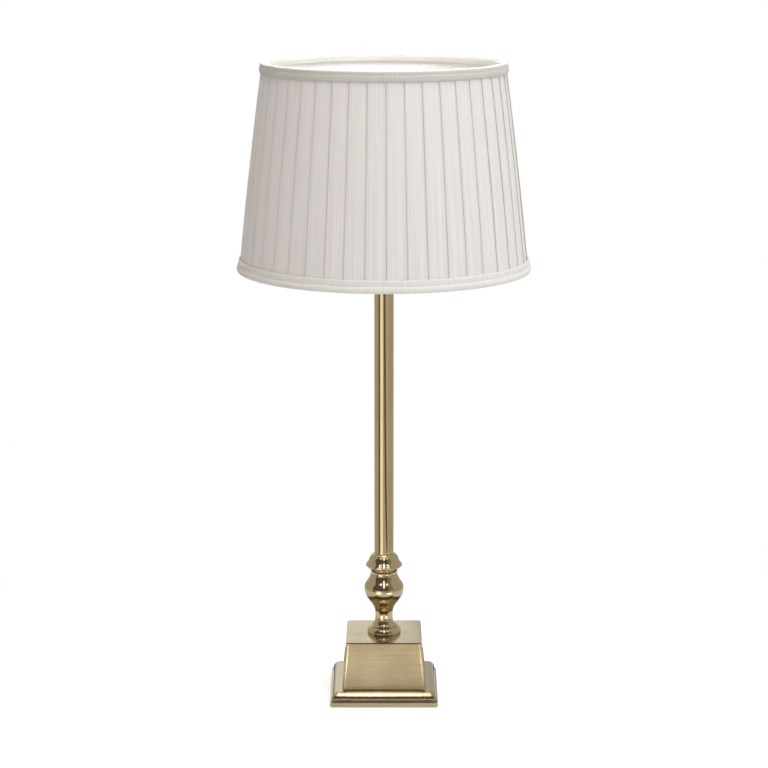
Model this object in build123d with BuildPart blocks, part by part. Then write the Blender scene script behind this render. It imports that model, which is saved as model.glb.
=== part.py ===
"""Candlestick table lamp with a knife-pleated linen shade, in millimetres, +Z up.

The origin is the middle of the felt pad's underside, where the lamp stands on a table. The front is -Y and
the lead leaves at the back, +Y. A hollow threaded rod on the Z axis clamps base, column and lampholder.
"""

from build123d import *
import math
import os

os.makedirs("parts", exist_ok=True)

# ---------------------------------------------------------------- driving sizes
# Fits. A running fit is a shaft that turns or slides in its hole.
RUNNING_FIT = 0.05
LOOSE_FIT = 0.25
CASTING_GAP = 0.3
MOVING_GAP = 0.4
CLOTH_GAP = 0.1

# Plinth: a slab, a short neck and a quarter-round (ovolo) up to a flat ledge.
PLINTH_SIZE = 113.0
PLINTH_CORNER = 2.5
SLAB_HEIGHT = 4.4
SLAB_LIP = 1.5
OVOLO_NECK = 0.8
OVOLO_HEIGHT = 9.0
OVOLO_DEPTH = 6.0
OVOLO_CORNER = 3.5
OVOLO_STEPS = 4
PLINTH_RIM = 7.0
PLINTH_TOP_PLATE = 2.5
CAVITY_CORNER = 4.0

# Felt, cover plate and their screws, inside the plinth's rim.
FELT_THICKNESS = 2.0
FELT_PROUD = 0.8
FELT_MARGIN = 1.0
COVER_THICKNESS = 1.5
COVER_SCREW_PITCH = 80.0
COVER_SCREW_R = 1.5
COVER_SCREW_LENGTH = 8.0
COVER_SCREW_SLOT_WIDTH = 0.8
COVER_SCREW_SLOT_DEPTH = 0.7

# Block: a hollow tapered square.
BLOCK_BOTTOM = 87.6
BLOCK_TOP = 79.0
BLOCK_HEIGHT = 50.0
BLOCK_WALL = 2.0
BLOCK_TOP_PLATE = 3.0
BLOCK_CORNER = 3.0
BLOCK_EDGE = 1.2

# Ballast: a flange in the plinth and a boss up into the block.
BOSS_GAP = 6.0
BOSS_HEADROOM = 5.0
BOSS_PASS = 1.5
BOSS_CORNER = 6.0
NUT_RECESS_R = 14.0
NUT_RECESS_DEPTH = 11.5

# Way out for the lead, at the back of the plinth.
OUTLET_Z = 8.0
CABLE_R = 3.2
BUSH_WALL = 0.8
BUSH_FLANGE_R = 5.0
BUSH_FLANGE_THICKNESS = 2.0
SPOT_FACE_DEPTH = 3.0

# Rod, nut and washer.
ROD_R = 5.0
ROD_BORE_R = 3.5
ROD_END = 1.4
ROD_SHY = 2.0
WASHER_R = 12.0
WASHER_THICKNESS = 1.6
NUT_FLATS = 17.0
NUT_THICKNESS = 5.0

# Turned column: radii, and heights above the bottom of each piece.
KNOP_R = 17.7
KNOP_MIDDLE_R = 16.8
KNOP_MIDDLE_HEIGHT = 4.4
KNOP_TOP_R = 14.2
KNOP_HEIGHT = 7.0
VASE_FOOT_R = 13.9
VASE_FOOT_LIP = 1.0
VASE_WAIST_R = 9.3
VASE_WAIST_HEIGHT = 13.2
VASE_RISE_R = 14.8
VASE_RISE_HEIGHT = 27.3
VASE_BELLY_R = 20.8
VASE_BELLY_HEIGHT = 41.5
VASE_SHOULDER_R = 17.2
VASE_SHOULDER_HEIGHT = 50.5
VASE_NECK_R = 14.1
VASE_HEIGHT = 59.0
COLLAR_FOOT_R = 14.3
COLLAR_COVE_R = 15.7
COLLAR_COVE_HEIGHT = 3.9
COLLAR_RING_R = 19.0
COLLAR_RING_HEIGHT = 7.6
COLLAR_RING_BAND = 1.4
COLLAR_STEP_R = 15.6
COLLAR_STEP_HEIGHT = 14.0
COLLAR_DOME_R = 14.2
COLLAR_DOME_HEIGHT = 17.7
COLLAR_MOUTH_R = 10.7
COLLAR_HEIGHT = 21.0
TUBE_R = 10.0
TUBE_WALL = 1.0
TUBE_SOCKET = 4.0
TUBE_LENGTH = 314.0
BUSH_LENGTH = 8.0
CAP_R = 11.5
CAP_EDGE = 1.5
CAP_HEIGHT = 5.0
STEM_NUT_FLATS = 15.0
STEM_NUT_THICKNESS = 3.0

# Lampholder.
HOLDER_NECK_R = 8.0
HOLDER_NECK_HEIGHT = 6.0
HOLDER_R = 20.5
HOLDER_WALL = 1.5
HOLDER_DOME_HEIGHT = 14.0
HOLDER_CAP_HEIGHT = 34.0
HOLDER_FLOOR = 12.0
GRUB_R = 1.5
SHOULDER_R = 22.5
SHOULDER_THICKNESS = 2.0
SKIRT_R = 19.5
SKIRT_WALL = 1.8
SKIRT_SPIGOT = 6.0
SKIRT_HEIGHT = 27.0
INSULATOR_DROP = 5.0
INSULATOR_HEIGHT = 13.0
TERMINAL_RADIUS = 12.0
TERMINAL_HEAD_R = 2.2
TERMINAL_HEAD_HEIGHT = 2.2
TERMINAL_SHANK_R = 1.25
TERMINAL_SHANK_LENGTH = 7.0
CONTACT_THICKNESS = 0.6
CONTACT_LENGTH = 16.0
CONTACT_WIDTH = 5.0
CONTACT_BUMP_R = 2.2
CONTACT_BUMP_HEIGHT = 1.0
SIDE_CONTACT_R = 15.0
SHELL_WALL = 0.7
SHELL_TURNS = 4
THREAD_CREST_R = 13.1
THREAD_ROOT_R = 12.1
THREAD_PITCH = 3.6
THREAD_CLEARANCE = 0.3

# Push bar through the lampholder, and the rocker that it tips.
BAR_R = 3.0
BAR_Z = 23.0
BAR_TRAVEL = 6.0
BAR_BLOCK_LENGTH = 16.0
BAR_BLOCK_WIDTH = 7.0
BAR_BLOCK_TOP = 4.0
BAR_BLOCK_BOTTOM = 3.0
BUTTON_R = 4.2
BUTTON_LENGTH = 6.0
BUTTON_SKIN = 1.8
BUTTON_EDGE = 1.0
ROCKER_ARM = 8.0
ROCKER_TIP_R = 1.5
ROCKER_TIP_Z = 2.0
ROCKER_WEB = 1.5
ROCKER_WIDTH = 4.0
ROCKER_HUB_R = 2.6
ROCKER_LUG = 5.0
ROCKER_LUG_R = 1.2
ROCKER_ROOM = 1.0
PIVOT_PIN_R = 1.0
PIVOT_PIN_LENGTH = 16.0

# Shade. The fold line is the outer edge of every pleat.
SHADE_HEIGHT = 212.0
SHADE_DROP = 51.0
FOLD_R_BOTTOM = 148.5
FOLD_R_TOP = 123.2
PLEAT_COUNT = 44
PLEAT_START = 1.05
PLEAT_STEP = 1.1
PLEAT_LINE = 0.15
COVER_CLOTH = 0.5
RING_WIRE_R = 1.25
STRUT_WIRE_R = 1.1
STRUT_COUNT = 8
LINING_CLOTH = 0.4
TRIM_HEIGHT = 12.5
TRIM_CLOTH = 0.8
TRIM_RETURN = 8.0
BOTTOM_TRIM_PROUD = 2.0
TRIM_EDGE = 0.6
CARRIER_R = 25.5
CARRIER_FIT = 1.1
CARRIER_THICKNESS = 2.0
ARM_WIRE_R = 1.5
ARM_COUNT = 3
ARM_TURN = 90.0
RING_NUT_R = 24.0
RING_NUT_HEIGHT = 7.0
RING_NUT_EDGE = 0.6

# Bulb.
BULB_R = 30.0
BULB_LENGTH = 105.0
BULB_WALL = 0.7
BULB_NECK_R = 12.4
BULB_CAP_LENGTH = 27.0
BULB_CAP_BORE_R = 11.2
BULB_TURNS = 5
BULB_TIP_R = 4.5
BULB_TIP_HEIGHT = 1.2
BULB_CONE_HEIGHT = 3.0
BULB_CONE_R = 10.5
FILAMENT_R = 0.9
FILAMENT_LENGTH = 28.0
FILAMENT_COUNT = 4
FILAMENT_CIRCLE_R = 7.0
MOUNT_R = 2.0
MOUNT_HEIGHT = 34.0
MOUNT_FOOT_R = 11.6
MOUNT_FOOT_HEIGHT = 4.0
MOUNT_DISC_R = 8.2
MOUNT_DISC_THICKNESS = 1.0

# ---------------------------------------------------------------- heights and sizes that follow
RIM_Z = FELT_PROUD
COVER_Z = FELT_THICKNESS
WEIGHT_Z = COVER_Z + COVER_THICKNESS
SLAB_TOP_Z = RIM_Z + SLAB_HEIGHT
OVOLO_Z = SLAB_TOP_Z + OVOLO_NECK
LEDGE_Z = OVOLO_Z + OVOLO_HEIGHT
CAVITY_TOP_Z = LEDGE_Z - PLINTH_TOP_PLATE
CAVITY_SIZE = PLINTH_SIZE - 2 * PLINTH_RIM
INSERT_SIZE = CAVITY_SIZE - 2 * CASTING_GAP
OVOLO_SIZE = PLINTH_SIZE - 2 * SLAB_LIP

BLOCK_TOP_Z = LEDGE_Z + BLOCK_HEIGHT
BLOCK_CEILING_Z = BLOCK_TOP_Z - BLOCK_TOP_PLATE
BLOCK_TAPER = (BLOCK_BOTTOM - BLOCK_TOP) / BLOCK_HEIGHT
BLOCK_CEILING_SIZE = BLOCK_TOP + BLOCK_TAPER * BLOCK_TOP_PLATE - 2 * BLOCK_WALL
BOSS_BOTTOM = BLOCK_BOTTOM - 2 * (BLOCK_WALL + BOSS_GAP)
BOSS_TOP = BLOCK_CEILING_SIZE - 2 * BOSS_GAP
BOSS_TOP_Z = BLOCK_CEILING_Z - BOSS_HEADROOM
RECESS_TOP_Z = WEIGHT_Z + NUT_RECESS_DEPTH
NUT_TOP_Z = RECESS_TOP_Z - WASHER_THICKNESS
NUT_Z = NUT_TOP_Z - NUT_THICKNESS
ROD_HOLE_R = ROD_R + LOOSE_FIT
THREAD_HOLE_R = ROD_R + RUNNING_FIT

SLEEVE_R = CABLE_R + BUSH_WALL
SPOT_FACE_Y = PLINTH_SIZE / 2 - SPOT_FACE_DEPTH
INNER_WALL = (0, CAVITY_SIZE / 2, OUTLET_Z)
SPOT_FACE = (0, SPOT_FACE_Y, OUTLET_Z)
BACK_FACE = (0, PLINTH_SIZE / 2, OUTLET_Z)

VASE_Z = BLOCK_TOP_Z + KNOP_HEIGHT
COLLAR_Z = VASE_Z + VASE_HEIGHT
COLLAR_TOP_Z = COLLAR_Z + COLLAR_HEIGHT
TUBE_Z = COLLAR_TOP_Z - TUBE_SOCKET
TUBE_TOP_Z = TUBE_Z + TUBE_LENGTH
TUBE_BORE_R = TUBE_R - TUBE_WALL
CAP_TOP_Z = TUBE_TOP_Z + CAP_HEIGHT
HOLDER_Z = CAP_TOP_Z + STEM_NUT_THICKNESS

HOLDER_BORE_R = HOLDER_R - HOLDER_WALL
HOLDER_TOP_Z = HOLDER_Z + HOLDER_CAP_HEIGHT
ROD_TOP_Z = HOLDER_Z + HOLDER_FLOOR - ROD_SHY
SHOULDER_TOP_Z = HOLDER_TOP_Z + SHOULDER_THICKNESS
SKIRT_TOP_Z = SHOULDER_TOP_Z + SKIRT_HEIGHT
SKIRT_BORE_R = SKIRT_R - SKIRT_WALL
INSULATOR_R = SKIRT_BORE_R - RUNNING_FIT
INSULATOR_Z = HOLDER_TOP_Z - INSULATOR_DROP
INSULATOR_TOP_Z = INSULATOR_Z + INSULATOR_HEIGHT
SHELL_Z = INSULATOR_TOP_Z + CONTACT_THICKNESS
BULB_Z = SHELL_Z + CONTACT_BUMP_HEIGHT

BAR_AXIS_Z = HOLDER_Z + BAR_Z
PIVOT_Z = BAR_AXIS_Z + ROCKER_TIP_Z + ROCKER_ARM
ROCKER_SWING = math.degrees(BAR_TRAVEL / ROCKER_ARM)
BAR_REST_X = -BAR_TRAVEL / 2
NOTCH_WIDTH = 2 * (ROCKER_TIP_R + MOVING_GAP)
LEFT_BUTTON_X = -(HOLDER_R + MOVING_GAP + BAR_TRAVEL)
RIGHT_BUTTON_X = HOLDER_R + MOVING_GAP
BAR_LEFT = (LEFT_BUTTON_X - BUTTON_LENGTH + BUTTON_SKIN, 0, BAR_AXIS_Z)
BAR_RIGHT = (RIGHT_BUTTON_X + BUTTON_LENGTH - BUTTON_SKIN, 0, BAR_AXIS_Z)
PIN_FRONT = (0, -PIVOT_PIN_LENGTH / 2, PIVOT_Z)
PIN_BACK = (0, PIVOT_PIN_LENGTH / 2, PIVOT_Z)
GRUB_Z = HOLDER_Z + HOLDER_NECK_HEIGHT / 2

CARRIER_BORE_R = SKIRT_R + CARRIER_FIT
CARRIER_Z = SHOULDER_TOP_Z
CARRIER_TOP_Z = CARRIER_Z + CARRIER_THICKNESS
SHADE_Z = CARRIER_Z - SHADE_DROP
SHADE_TOP_Z = SHADE_Z + SHADE_HEIGHT
CLOTH_Z = SHADE_Z + TRIM_CLOTH + CLOTH_GAP
CLOTH_TOP_Z = SHADE_TOP_Z - TRIM_CLOTH - CLOTH_GAP
RING_Z = CLOTH_Z + RING_WIRE_R
RING_TOP_Z = CLOTH_TOP_Z - RING_WIRE_R


# ---------------------------------------------------------------- drawing helpers
def tube(outer_r, inner_r, bottom, top):
    """A plain tube about the lamp's axis, in the piece being made."""
    with BuildSketch(Plane.XY.offset(bottom)) as ring:
        Circle(outer_r)
        Circle(inner_r, mode=Mode.SUBTRACT)
    extrude(ring.sketch, amount=top - bottom)


def bore(radius, bottom, top):
    """A round hole on the lamp's axis, in the piece being made."""
    with BuildSketch(Plane.XY.offset(bottom)) as hole:
        Circle(radius)
    extrude(hole.sketch, amount=top - bottom, mode=Mode.SUBTRACT)


def wire(start, end, radius, mode=Mode.ADD):
    """A straight round wire from start to end, in the piece being made."""
    run = Vector(*end) - Vector(*start)
    with BuildSketch(Plane(origin=start, z_dir=run)) as section:
        Circle(radius)
    extrude(section.sketch, amount=run.length, mode=mode)


def nut(flats, thickness, bottom):
    """A hexagon nut on the rod, in the piece being made."""
    with BuildSketch(Plane.XY.offset(bottom)) as hexagon:
        RegularPolygon(flats / 2, 6, major_radius=False)
        Circle(THREAD_HOLE_R, mode=Mode.SUBTRACT)
    extrude(hexagon.sketch, amount=thickness)


def thread_rings(crest_r, root_r, bottom, turns):
    """The rounded screw thread of cap and shell, drawn as rings in the line being made, bottom to top."""
    for turn in range(turns):
        z = bottom + turn * THREAD_PITCH
        middle_r = (crest_r + root_r) / 2
        half = THREAD_PITCH / 2
        ThreePointArc((middle_r, z), (crest_r, z + half / 2), (middle_r, z + half))
        ThreePointArc((middle_r, z + half), (root_r, z + 1.5 * half), (middle_r, z + THREAD_PITCH))


def fold_r(z):
    """Radius of the pleats' outer edges at height z."""
    return FOLD_R_BOTTOM + (FOLD_R_TOP - FOLD_R_BOTTOM) * (z - SHADE_Z) / SHADE_HEIGHT


def cloth_r(depth, z):
    """Radius at height z of the cone that lies depth inside the fold line."""
    return fold_r(z) - depth


def cone_band(outer_depth, inner_depth, bottom, top, mode=Mode.ADD):
    """A thin cone between two depths inside the fold line, in the piece being made."""
    with BuildSketch(Plane.XZ) as profile:
        Polygon(
            (cloth_r(outer_depth, bottom), bottom),
            (cloth_r(inner_depth, bottom), bottom),
            (cloth_r(inner_depth, top), top),
            (cloth_r(outer_depth, top), top),
            align=None,
        )
    revolve(profile.sketch, axis=Axis.Z, mode=mode)


def polar(radius, degrees, z):
    """A point by its radius and its angle from +X."""
    turn = math.radians(degrees)
    return (radius * math.cos(turn), radius * math.sin(turn), z)


def keep(piece, name):
    """Names a finished piece and writes its file."""
    piece.part.label = name
    export_step(piece.part, f"parts/{name}.step")


# ---------------------------------------------------------------- base
with BuildPart() as plinth:
    with BuildSketch(Plane.XY.offset(RIM_Z)):
        RectangleRounded(PLINTH_SIZE, PLINTH_SIZE, PLINTH_CORNER)
    extrude(amount=SLAB_HEIGHT)
    with BuildSketch(Plane.XY.offset(SLAB_TOP_Z)):
        RectangleRounded(OVOLO_SIZE, OVOLO_SIZE, OVOLO_CORNER)
    extrude(amount=OVOLO_NECK)
    for step in range(OVOLO_STEPS + 1):
        turn = math.radians(90 * step / OVOLO_STEPS)
        side = OVOLO_SIZE - 2 * OVOLO_DEPTH * (1 - math.cos(turn))
        with BuildSketch(Plane.XY.offset(OVOLO_Z + OVOLO_HEIGHT * math.sin(turn))):
            RectangleRounded(side, side, OVOLO_CORNER)
    loft()
    with BuildSketch(Plane.XY.offset(RIM_Z)):
        RectangleRounded(CAVITY_SIZE, CAVITY_SIZE, CAVITY_CORNER)
    extrude(amount=CAVITY_TOP_Z - RIM_Z, mode=Mode.SUBTRACT)
    with BuildSketch(Plane.XY.offset(CAVITY_TOP_Z)):
        RectangleRounded(BOSS_BOTTOM + 2 * BOSS_PASS, BOSS_BOTTOM + 2 * BOSS_PASS, BOSS_CORNER)
    extrude(amount=PLINTH_TOP_PLATE, mode=Mode.SUBTRACT)
    wire(INNER_WALL, BACK_FACE, SLEEVE_R + RUNNING_FIT, Mode.SUBTRACT)
    wire(SPOT_FACE, BACK_FACE, BUSH_FLANGE_R + LOOSE_FIT, Mode.SUBTRACT)
keep(plinth, "plinth")

with BuildPart() as cable_bush:
    wire(INNER_WALL, SPOT_FACE, SLEEVE_R)
    wire(SPOT_FACE, (0, SPOT_FACE_Y + BUSH_FLANGE_THICKNESS, OUTLET_Z), BUSH_FLANGE_R)
    wire(INNER_WALL, BACK_FACE, CABLE_R, Mode.SUBTRACT)
keep(cable_bush, "cable_bush")

with BuildPart() as felt_pad:
    with BuildSketch():
        RectangleRounded(CAVITY_SIZE - 2 * FELT_MARGIN, CAVITY_SIZE - 2 * FELT_MARGIN, CAVITY_CORNER)
    extrude(amount=FELT_THICKNESS)
keep(felt_pad, "felt_pad")

with BuildPart() as base_cover:
    with BuildSketch(Plane.XY.offset(COVER_Z)):
        RectangleRounded(INSERT_SIZE, INSERT_SIZE, CAVITY_CORNER)
    extrude(amount=COVER_THICKNESS)
    with GridLocations(COVER_SCREW_PITCH, COVER_SCREW_PITCH, 2, 2):
        with Locations((0, 0, COVER_Z + COVER_THICKNESS / 2)):
            Cone(
                COVER_SCREW_R + COVER_THICKNESS + RUNNING_FIT,
                COVER_SCREW_R + RUNNING_FIT,
                COVER_THICKNESS,
                mode=Mode.SUBTRACT,
            )
keep(base_cover, "base_cover")

SHANK_LENGTH = COVER_SCREW_LENGTH - COVER_THICKNESS
with BuildPart() as cover_screws:
    with GridLocations(COVER_SCREW_PITCH, COVER_SCREW_PITCH, 2, 2):
        with Locations((0, 0, COVER_Z + COVER_THICKNESS / 2)):
            Cone(COVER_SCREW_R + COVER_THICKNESS, COVER_SCREW_R, COVER_THICKNESS)
        with Locations((0, 0, WEIGHT_Z + SHANK_LENGTH / 2)):
            Cylinder(COVER_SCREW_R, SHANK_LENGTH)
        with Locations((0, 0, COVER_Z + COVER_SCREW_SLOT_DEPTH / 2)):
            Box(PLINTH_RIM, COVER_SCREW_SLOT_WIDTH, COVER_SCREW_SLOT_DEPTH, mode=Mode.SUBTRACT)
keep(cover_screws, "cover_screws")

with BuildPart() as base_weight:
    with BuildSketch(Plane.XY.offset(WEIGHT_Z)):
        RectangleRounded(INSERT_SIZE, INSERT_SIZE, CAVITY_CORNER)
    extrude(amount=CAVITY_TOP_Z - WEIGHT_Z)
    for z, side in ((CAVITY_TOP_Z, BOSS_BOTTOM), (BOSS_TOP_Z, BOSS_TOP)):
        with BuildSketch(Plane.XY.offset(z)):
            RectangleRounded(side, side, BOSS_CORNER)
    loft()
    bore(ROD_HOLE_R, WEIGHT_Z, BOSS_TOP_Z)
    bore(NUT_RECESS_R, WEIGHT_Z, RECESS_TOP_Z)
    with BuildSketch(Plane.XY.offset(WEIGHT_Z)):
        with Locations((0, INSERT_SIZE / 4)):
            Rectangle(2 * SLEEVE_R, INSERT_SIZE / 2)
    extrude(amount=CAVITY_TOP_Z - WEIGHT_Z, mode=Mode.SUBTRACT)
    with BuildSketch(Plane.XY.offset(WEIGHT_Z)):
        with GridLocations(COVER_SCREW_PITCH, COVER_SCREW_PITCH, 2, 2):
            Circle(COVER_SCREW_R + RUNNING_FIT)
    extrude(amount=SHANK_LENGTH + CASTING_GAP, mode=Mode.SUBTRACT)
keep(base_weight, "base_weight")

with BuildPart() as base_block:
    for z, side in ((LEDGE_Z, BLOCK_BOTTOM), (BLOCK_TOP_Z, BLOCK_TOP)):
        with BuildSketch(Plane.XY.offset(z)):
            RectangleRounded(side, side, BLOCK_CORNER)
    loft(ruled=True)
    fillet(base_block.faces().sort_by(Axis.Z)[-1].edges(), BLOCK_EDGE)
    for z, side in ((LEDGE_Z, BLOCK_BOTTOM - 2 * BLOCK_WALL), (BLOCK_CEILING_Z, BLOCK_CEILING_SIZE)):
        with BuildSketch(Plane.XY.offset(z)):
            RectangleRounded(side, side, BLOCK_CORNER - BLOCK_WALL / 2)
    loft(ruled=True, mode=Mode.SUBTRACT)
    bore(ROD_HOLE_R, BLOCK_CEILING_Z, BLOCK_TOP_Z)
keep(base_block, "base_block")

with BuildPart() as rod_washer:
    tube(WASHER_R, ROD_HOLE_R, NUT_TOP_Z, RECESS_TOP_Z)
keep(rod_washer, "rod_washer")

with BuildPart() as rod_nut:
    nut(NUT_FLATS, NUT_THICKNESS, NUT_Z)
keep(rod_nut, "rod_nut")

with BuildPart() as threaded_rod:
    tube(ROD_R, ROD_BORE_R, NUT_Z - ROD_END, ROD_TOP_Z)
keep(threaded_rod, "threaded_rod")

# ---------------------------------------------------------------- column
with BuildPart() as foot_knop:
    with BuildSketch(Plane.XZ):
        with BuildLine():
            dome = ThreePointArc(
                (KNOP_R, BLOCK_TOP_Z),
                (KNOP_MIDDLE_R, BLOCK_TOP_Z + KNOP_MIDDLE_HEIGHT),
                (KNOP_TOP_R, VASE_Z),
            )
            Polyline(dome @ 1, (ROD_HOLE_R, VASE_Z), (ROD_HOLE_R, BLOCK_TOP_Z), dome @ 0)
        make_face()
    revolve(axis=Axis.Z)
keep(foot_knop, "foot_knop")

with BuildPart() as vase:
    with BuildSketch(Plane.XZ):
        with BuildLine():
            lip = Line((VASE_FOOT_R, VASE_Z), (VASE_FOOT_R, VASE_Z + VASE_FOOT_LIP))
            foot = Spline(
                lip @ 1,
                (VASE_WAIST_R, VASE_Z + VASE_WAIST_HEIGHT),
                tangents=[(-1, 0.4), (0, 1)],
            )
            rise = Spline(
                foot @ 1,
                (VASE_RISE_R, VASE_Z + VASE_RISE_HEIGHT),
                (VASE_BELLY_R, VASE_Z + VASE_BELLY_HEIGHT),
                tangents=[(0, 1), (0, 1)],
            )
            shoulder = Spline(
                rise @ 1,
                (VASE_SHOULDER_R, VASE_Z + VASE_SHOULDER_HEIGHT),
                (VASE_NECK_R, COLLAR_Z),
                tangents=[(0, 1), (0, 1)],
            )
            Polyline(shoulder @ 1, (ROD_HOLE_R, COLLAR_Z), (ROD_HOLE_R, VASE_Z), lip @ 0)
        make_face()
    revolve(axis=Axis.Z)
keep(vase, "vase")

with BuildPart() as collar:
    with BuildSketch(Plane.XZ):
        with BuildLine():
            under = Spline(
                (COLLAR_FOOT_R, COLLAR_Z),
                (COLLAR_COVE_R, COLLAR_Z + COLLAR_COVE_HEIGHT),
                (COLLAR_RING_R, COLLAR_Z + COLLAR_RING_HEIGHT),
                tangents=[(0, 1), (1, 0.8)],
            )
            band = Line(under @ 1, (COLLAR_RING_R, COLLAR_Z + COLLAR_RING_HEIGHT + COLLAR_RING_BAND))
            cove = Spline(
                band @ 1,
                (COLLAR_STEP_R, COLLAR_Z + COLLAR_STEP_HEIGHT),
                tangents=[(-0.6, 1), (-0.4, 1)],
            )
            dome = ThreePointArc(
                cove @ 1,
                (COLLAR_DOME_R, COLLAR_Z + COLLAR_DOME_HEIGHT),
                (COLLAR_MOUTH_R, COLLAR_TOP_Z),
            )
            Polyline(
                dome @ 1,
                (TUBE_R + RUNNING_FIT, COLLAR_TOP_Z),
                (TUBE_R + RUNNING_FIT, TUBE_Z),
                (ROD_HOLE_R, TUBE_Z),
                (ROD_HOLE_R, COLLAR_Z),
                under @ 0,
            )
        make_face()
    revolve(axis=Axis.Z)
keep(collar, "collar")

with BuildPart() as stem_tube:
    tube(TUBE_R, TUBE_BORE_R, TUBE_Z, TUBE_TOP_Z)
keep(stem_tube, "stem_tube")

with BuildPart() as stem_lower_bush:
    tube(TUBE_BORE_R - RUNNING_FIT, ROD_HOLE_R, TUBE_Z, TUBE_Z + BUSH_LENGTH)
keep(stem_lower_bush, "stem_lower_bush")

with BuildPart() as stem_upper_bush:
    tube(TUBE_BORE_R - RUNNING_FIT, ROD_HOLE_R, TUBE_TOP_Z - BUSH_LENGTH, TUBE_TOP_Z)
keep(stem_upper_bush, "stem_upper_bush")

with BuildPart() as stem_cap:
    tube(CAP_R, ROD_HOLE_R, TUBE_TOP_Z, CAP_TOP_Z)
    fillet(stem_cap.faces().sort_by(Axis.Z)[-1].edges().sort_by(SortBy.LENGTH)[-1], CAP_EDGE)
keep(stem_cap, "stem_cap")

with BuildPart() as stem_nut:
    nut(STEM_NUT_FLATS, STEM_NUT_THICKNESS, CAP_TOP_Z)
keep(stem_nut, "stem_nut")

# ---------------------------------------------------------------- lampholder
with BuildPart() as holder_cap:
    with BuildSketch(Plane.XZ):
        with BuildLine():
            neck = Polyline(
                (THREAD_HOLE_R, HOLDER_Z),
                (HOLDER_NECK_R, HOLDER_Z),
                (HOLDER_NECK_R, HOLDER_Z + HOLDER_NECK_HEIGHT),
            )
            dome = Spline(neck @ 1, (HOLDER_R, HOLDER_Z + HOLDER_DOME_HEIGHT), tangents=[(1, 0.25), (0, 1)])
            Polyline(
                dome @ 1,
                (HOLDER_R, HOLDER_TOP_Z),
                (HOLDER_BORE_R, HOLDER_TOP_Z),
                (HOLDER_BORE_R, HOLDER_Z + HOLDER_DOME_HEIGHT),
                (THREAD_HOLE_R, HOLDER_Z + HOLDER_FLOOR),
                neck @ 0,
            )
        make_face()
    revolve(axis=Axis.Z)
    wire((-SHOULDER_R, 0, BAR_AXIS_Z), (SHOULDER_R, 0, BAR_AXIS_Z), BAR_R + RUNNING_FIT, Mode.SUBTRACT)
    wire((0, -HOLDER_R, GRUB_Z), (0, 0, GRUB_Z), GRUB_R + RUNNING_FIT, Mode.SUBTRACT)
keep(holder_cap, "holder_cap")

with BuildPart() as holder_grub_screw:
    wire((0, -HOLDER_NECK_R, GRUB_Z), (0, -THREAD_HOLE_R, GRUB_Z), GRUB_R)
keep(holder_grub_screw, "holder_grub_screw")

with BuildPart() as holder_skirt:
    tube(HOLDER_BORE_R - RUNNING_FIT, SKIRT_BORE_R, HOLDER_TOP_Z - SKIRT_SPIGOT, HOLDER_TOP_Z)
    tube(SHOULDER_R, SKIRT_BORE_R, HOLDER_TOP_Z, SHOULDER_TOP_Z)
    tube(SKIRT_R, SKIRT_BORE_R, SHOULDER_TOP_Z, SKIRT_TOP_Z)
keep(holder_skirt, "holder_skirt")

with BuildPart() as holder_insulator:
    with BuildSketch(Plane.XY.offset(INSULATOR_Z)):
        Circle(INSULATOR_R)
    extrude(amount=INSULATOR_HEIGHT)
    with BuildSketch(Plane.XY.offset(INSULATOR_Z)):
        Rectangle(2 * (ROCKER_HUB_R + ROCKER_ROOM), ROCKER_WIDTH + 2 * MOVING_GAP)
    extrude(amount=PIVOT_Z + ROCKER_LUG + ROCKER_LUG_R + MOVING_GAP - INSULATOR_Z, mode=Mode.SUBTRACT)
    with BuildSketch(Plane.XY.offset(INSULATOR_Z)):
        with Locations((0, -TERMINAL_RADIUS), (0, TERMINAL_RADIUS)):
            Circle(TERMINAL_SHANK_R + RUNNING_FIT)
    extrude(amount=TERMINAL_SHANK_LENGTH + RUNNING_FIT, mode=Mode.SUBTRACT)
    wire(PIN_FRONT, PIN_BACK, PIVOT_PIN_R + RUNNING_FIT, Mode.SUBTRACT)
keep(holder_insulator, "holder_insulator")

with BuildPart() as terminal_screws:
    for y in (-TERMINAL_RADIUS, TERMINAL_RADIUS):
        wire((0, y, INSULATOR_Z - TERMINAL_HEAD_HEIGHT), (0, y, INSULATOR_Z), TERMINAL_HEAD_R)
        wire((0, y, INSULATOR_Z), (0, y, INSULATOR_Z + TERMINAL_SHANK_LENGTH), TERMINAL_SHANK_R)
keep(terminal_screws, "terminal_screws")

with BuildPart() as centre_contact:
    with BuildSketch(Plane.XY.offset(INSULATOR_TOP_Z)):
        RectangleRounded(CONTACT_WIDTH, CONTACT_LENGTH, CONTACT_WIDTH / 4)
    extrude(amount=CONTACT_THICKNESS)
    with BuildSketch(Plane.XY.offset(SHELL_Z)):
        Circle(CONTACT_BUMP_R)
    extrude(amount=CONTACT_BUMP_HEIGHT)
keep(centre_contact, "centre_contact")

with BuildPart() as side_contact:
    tube(SIDE_CONTACT_R, THREAD_ROOT_R - SHELL_WALL, INSULATOR_TOP_Z, SHELL_Z)
keep(side_contact, "side_contact")

BULB_THREAD_Z = BULB_Z + BULB_TIP_HEIGHT + BULB_CONE_HEIGHT
with BuildPart() as screw_shell:
    with BuildSketch(Plane.XZ):
        with BuildLine():
            low_r = (THREAD_CREST_R + THREAD_ROOT_R) / 2 + THREAD_CLEARANCE
            high_r = THREAD_CREST_R + THREAD_CLEARANCE
            thread_rings(high_r, THREAD_ROOT_R + THREAD_CLEARANCE, BULB_THREAD_Z, SHELL_TURNS)
            shell_top_z = BULB_THREAD_Z + SHELL_TURNS * THREAD_PITCH
            Polyline(
                (low_r, shell_top_z),
                (high_r + SHELL_WALL, shell_top_z),
                (high_r + SHELL_WALL, SHELL_Z),
                (low_r, SHELL_Z),
                (low_r, BULB_THREAD_Z),
            )
        make_face()
    revolve(axis=Axis.Z)
keep(screw_shell, "screw_shell")

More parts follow.
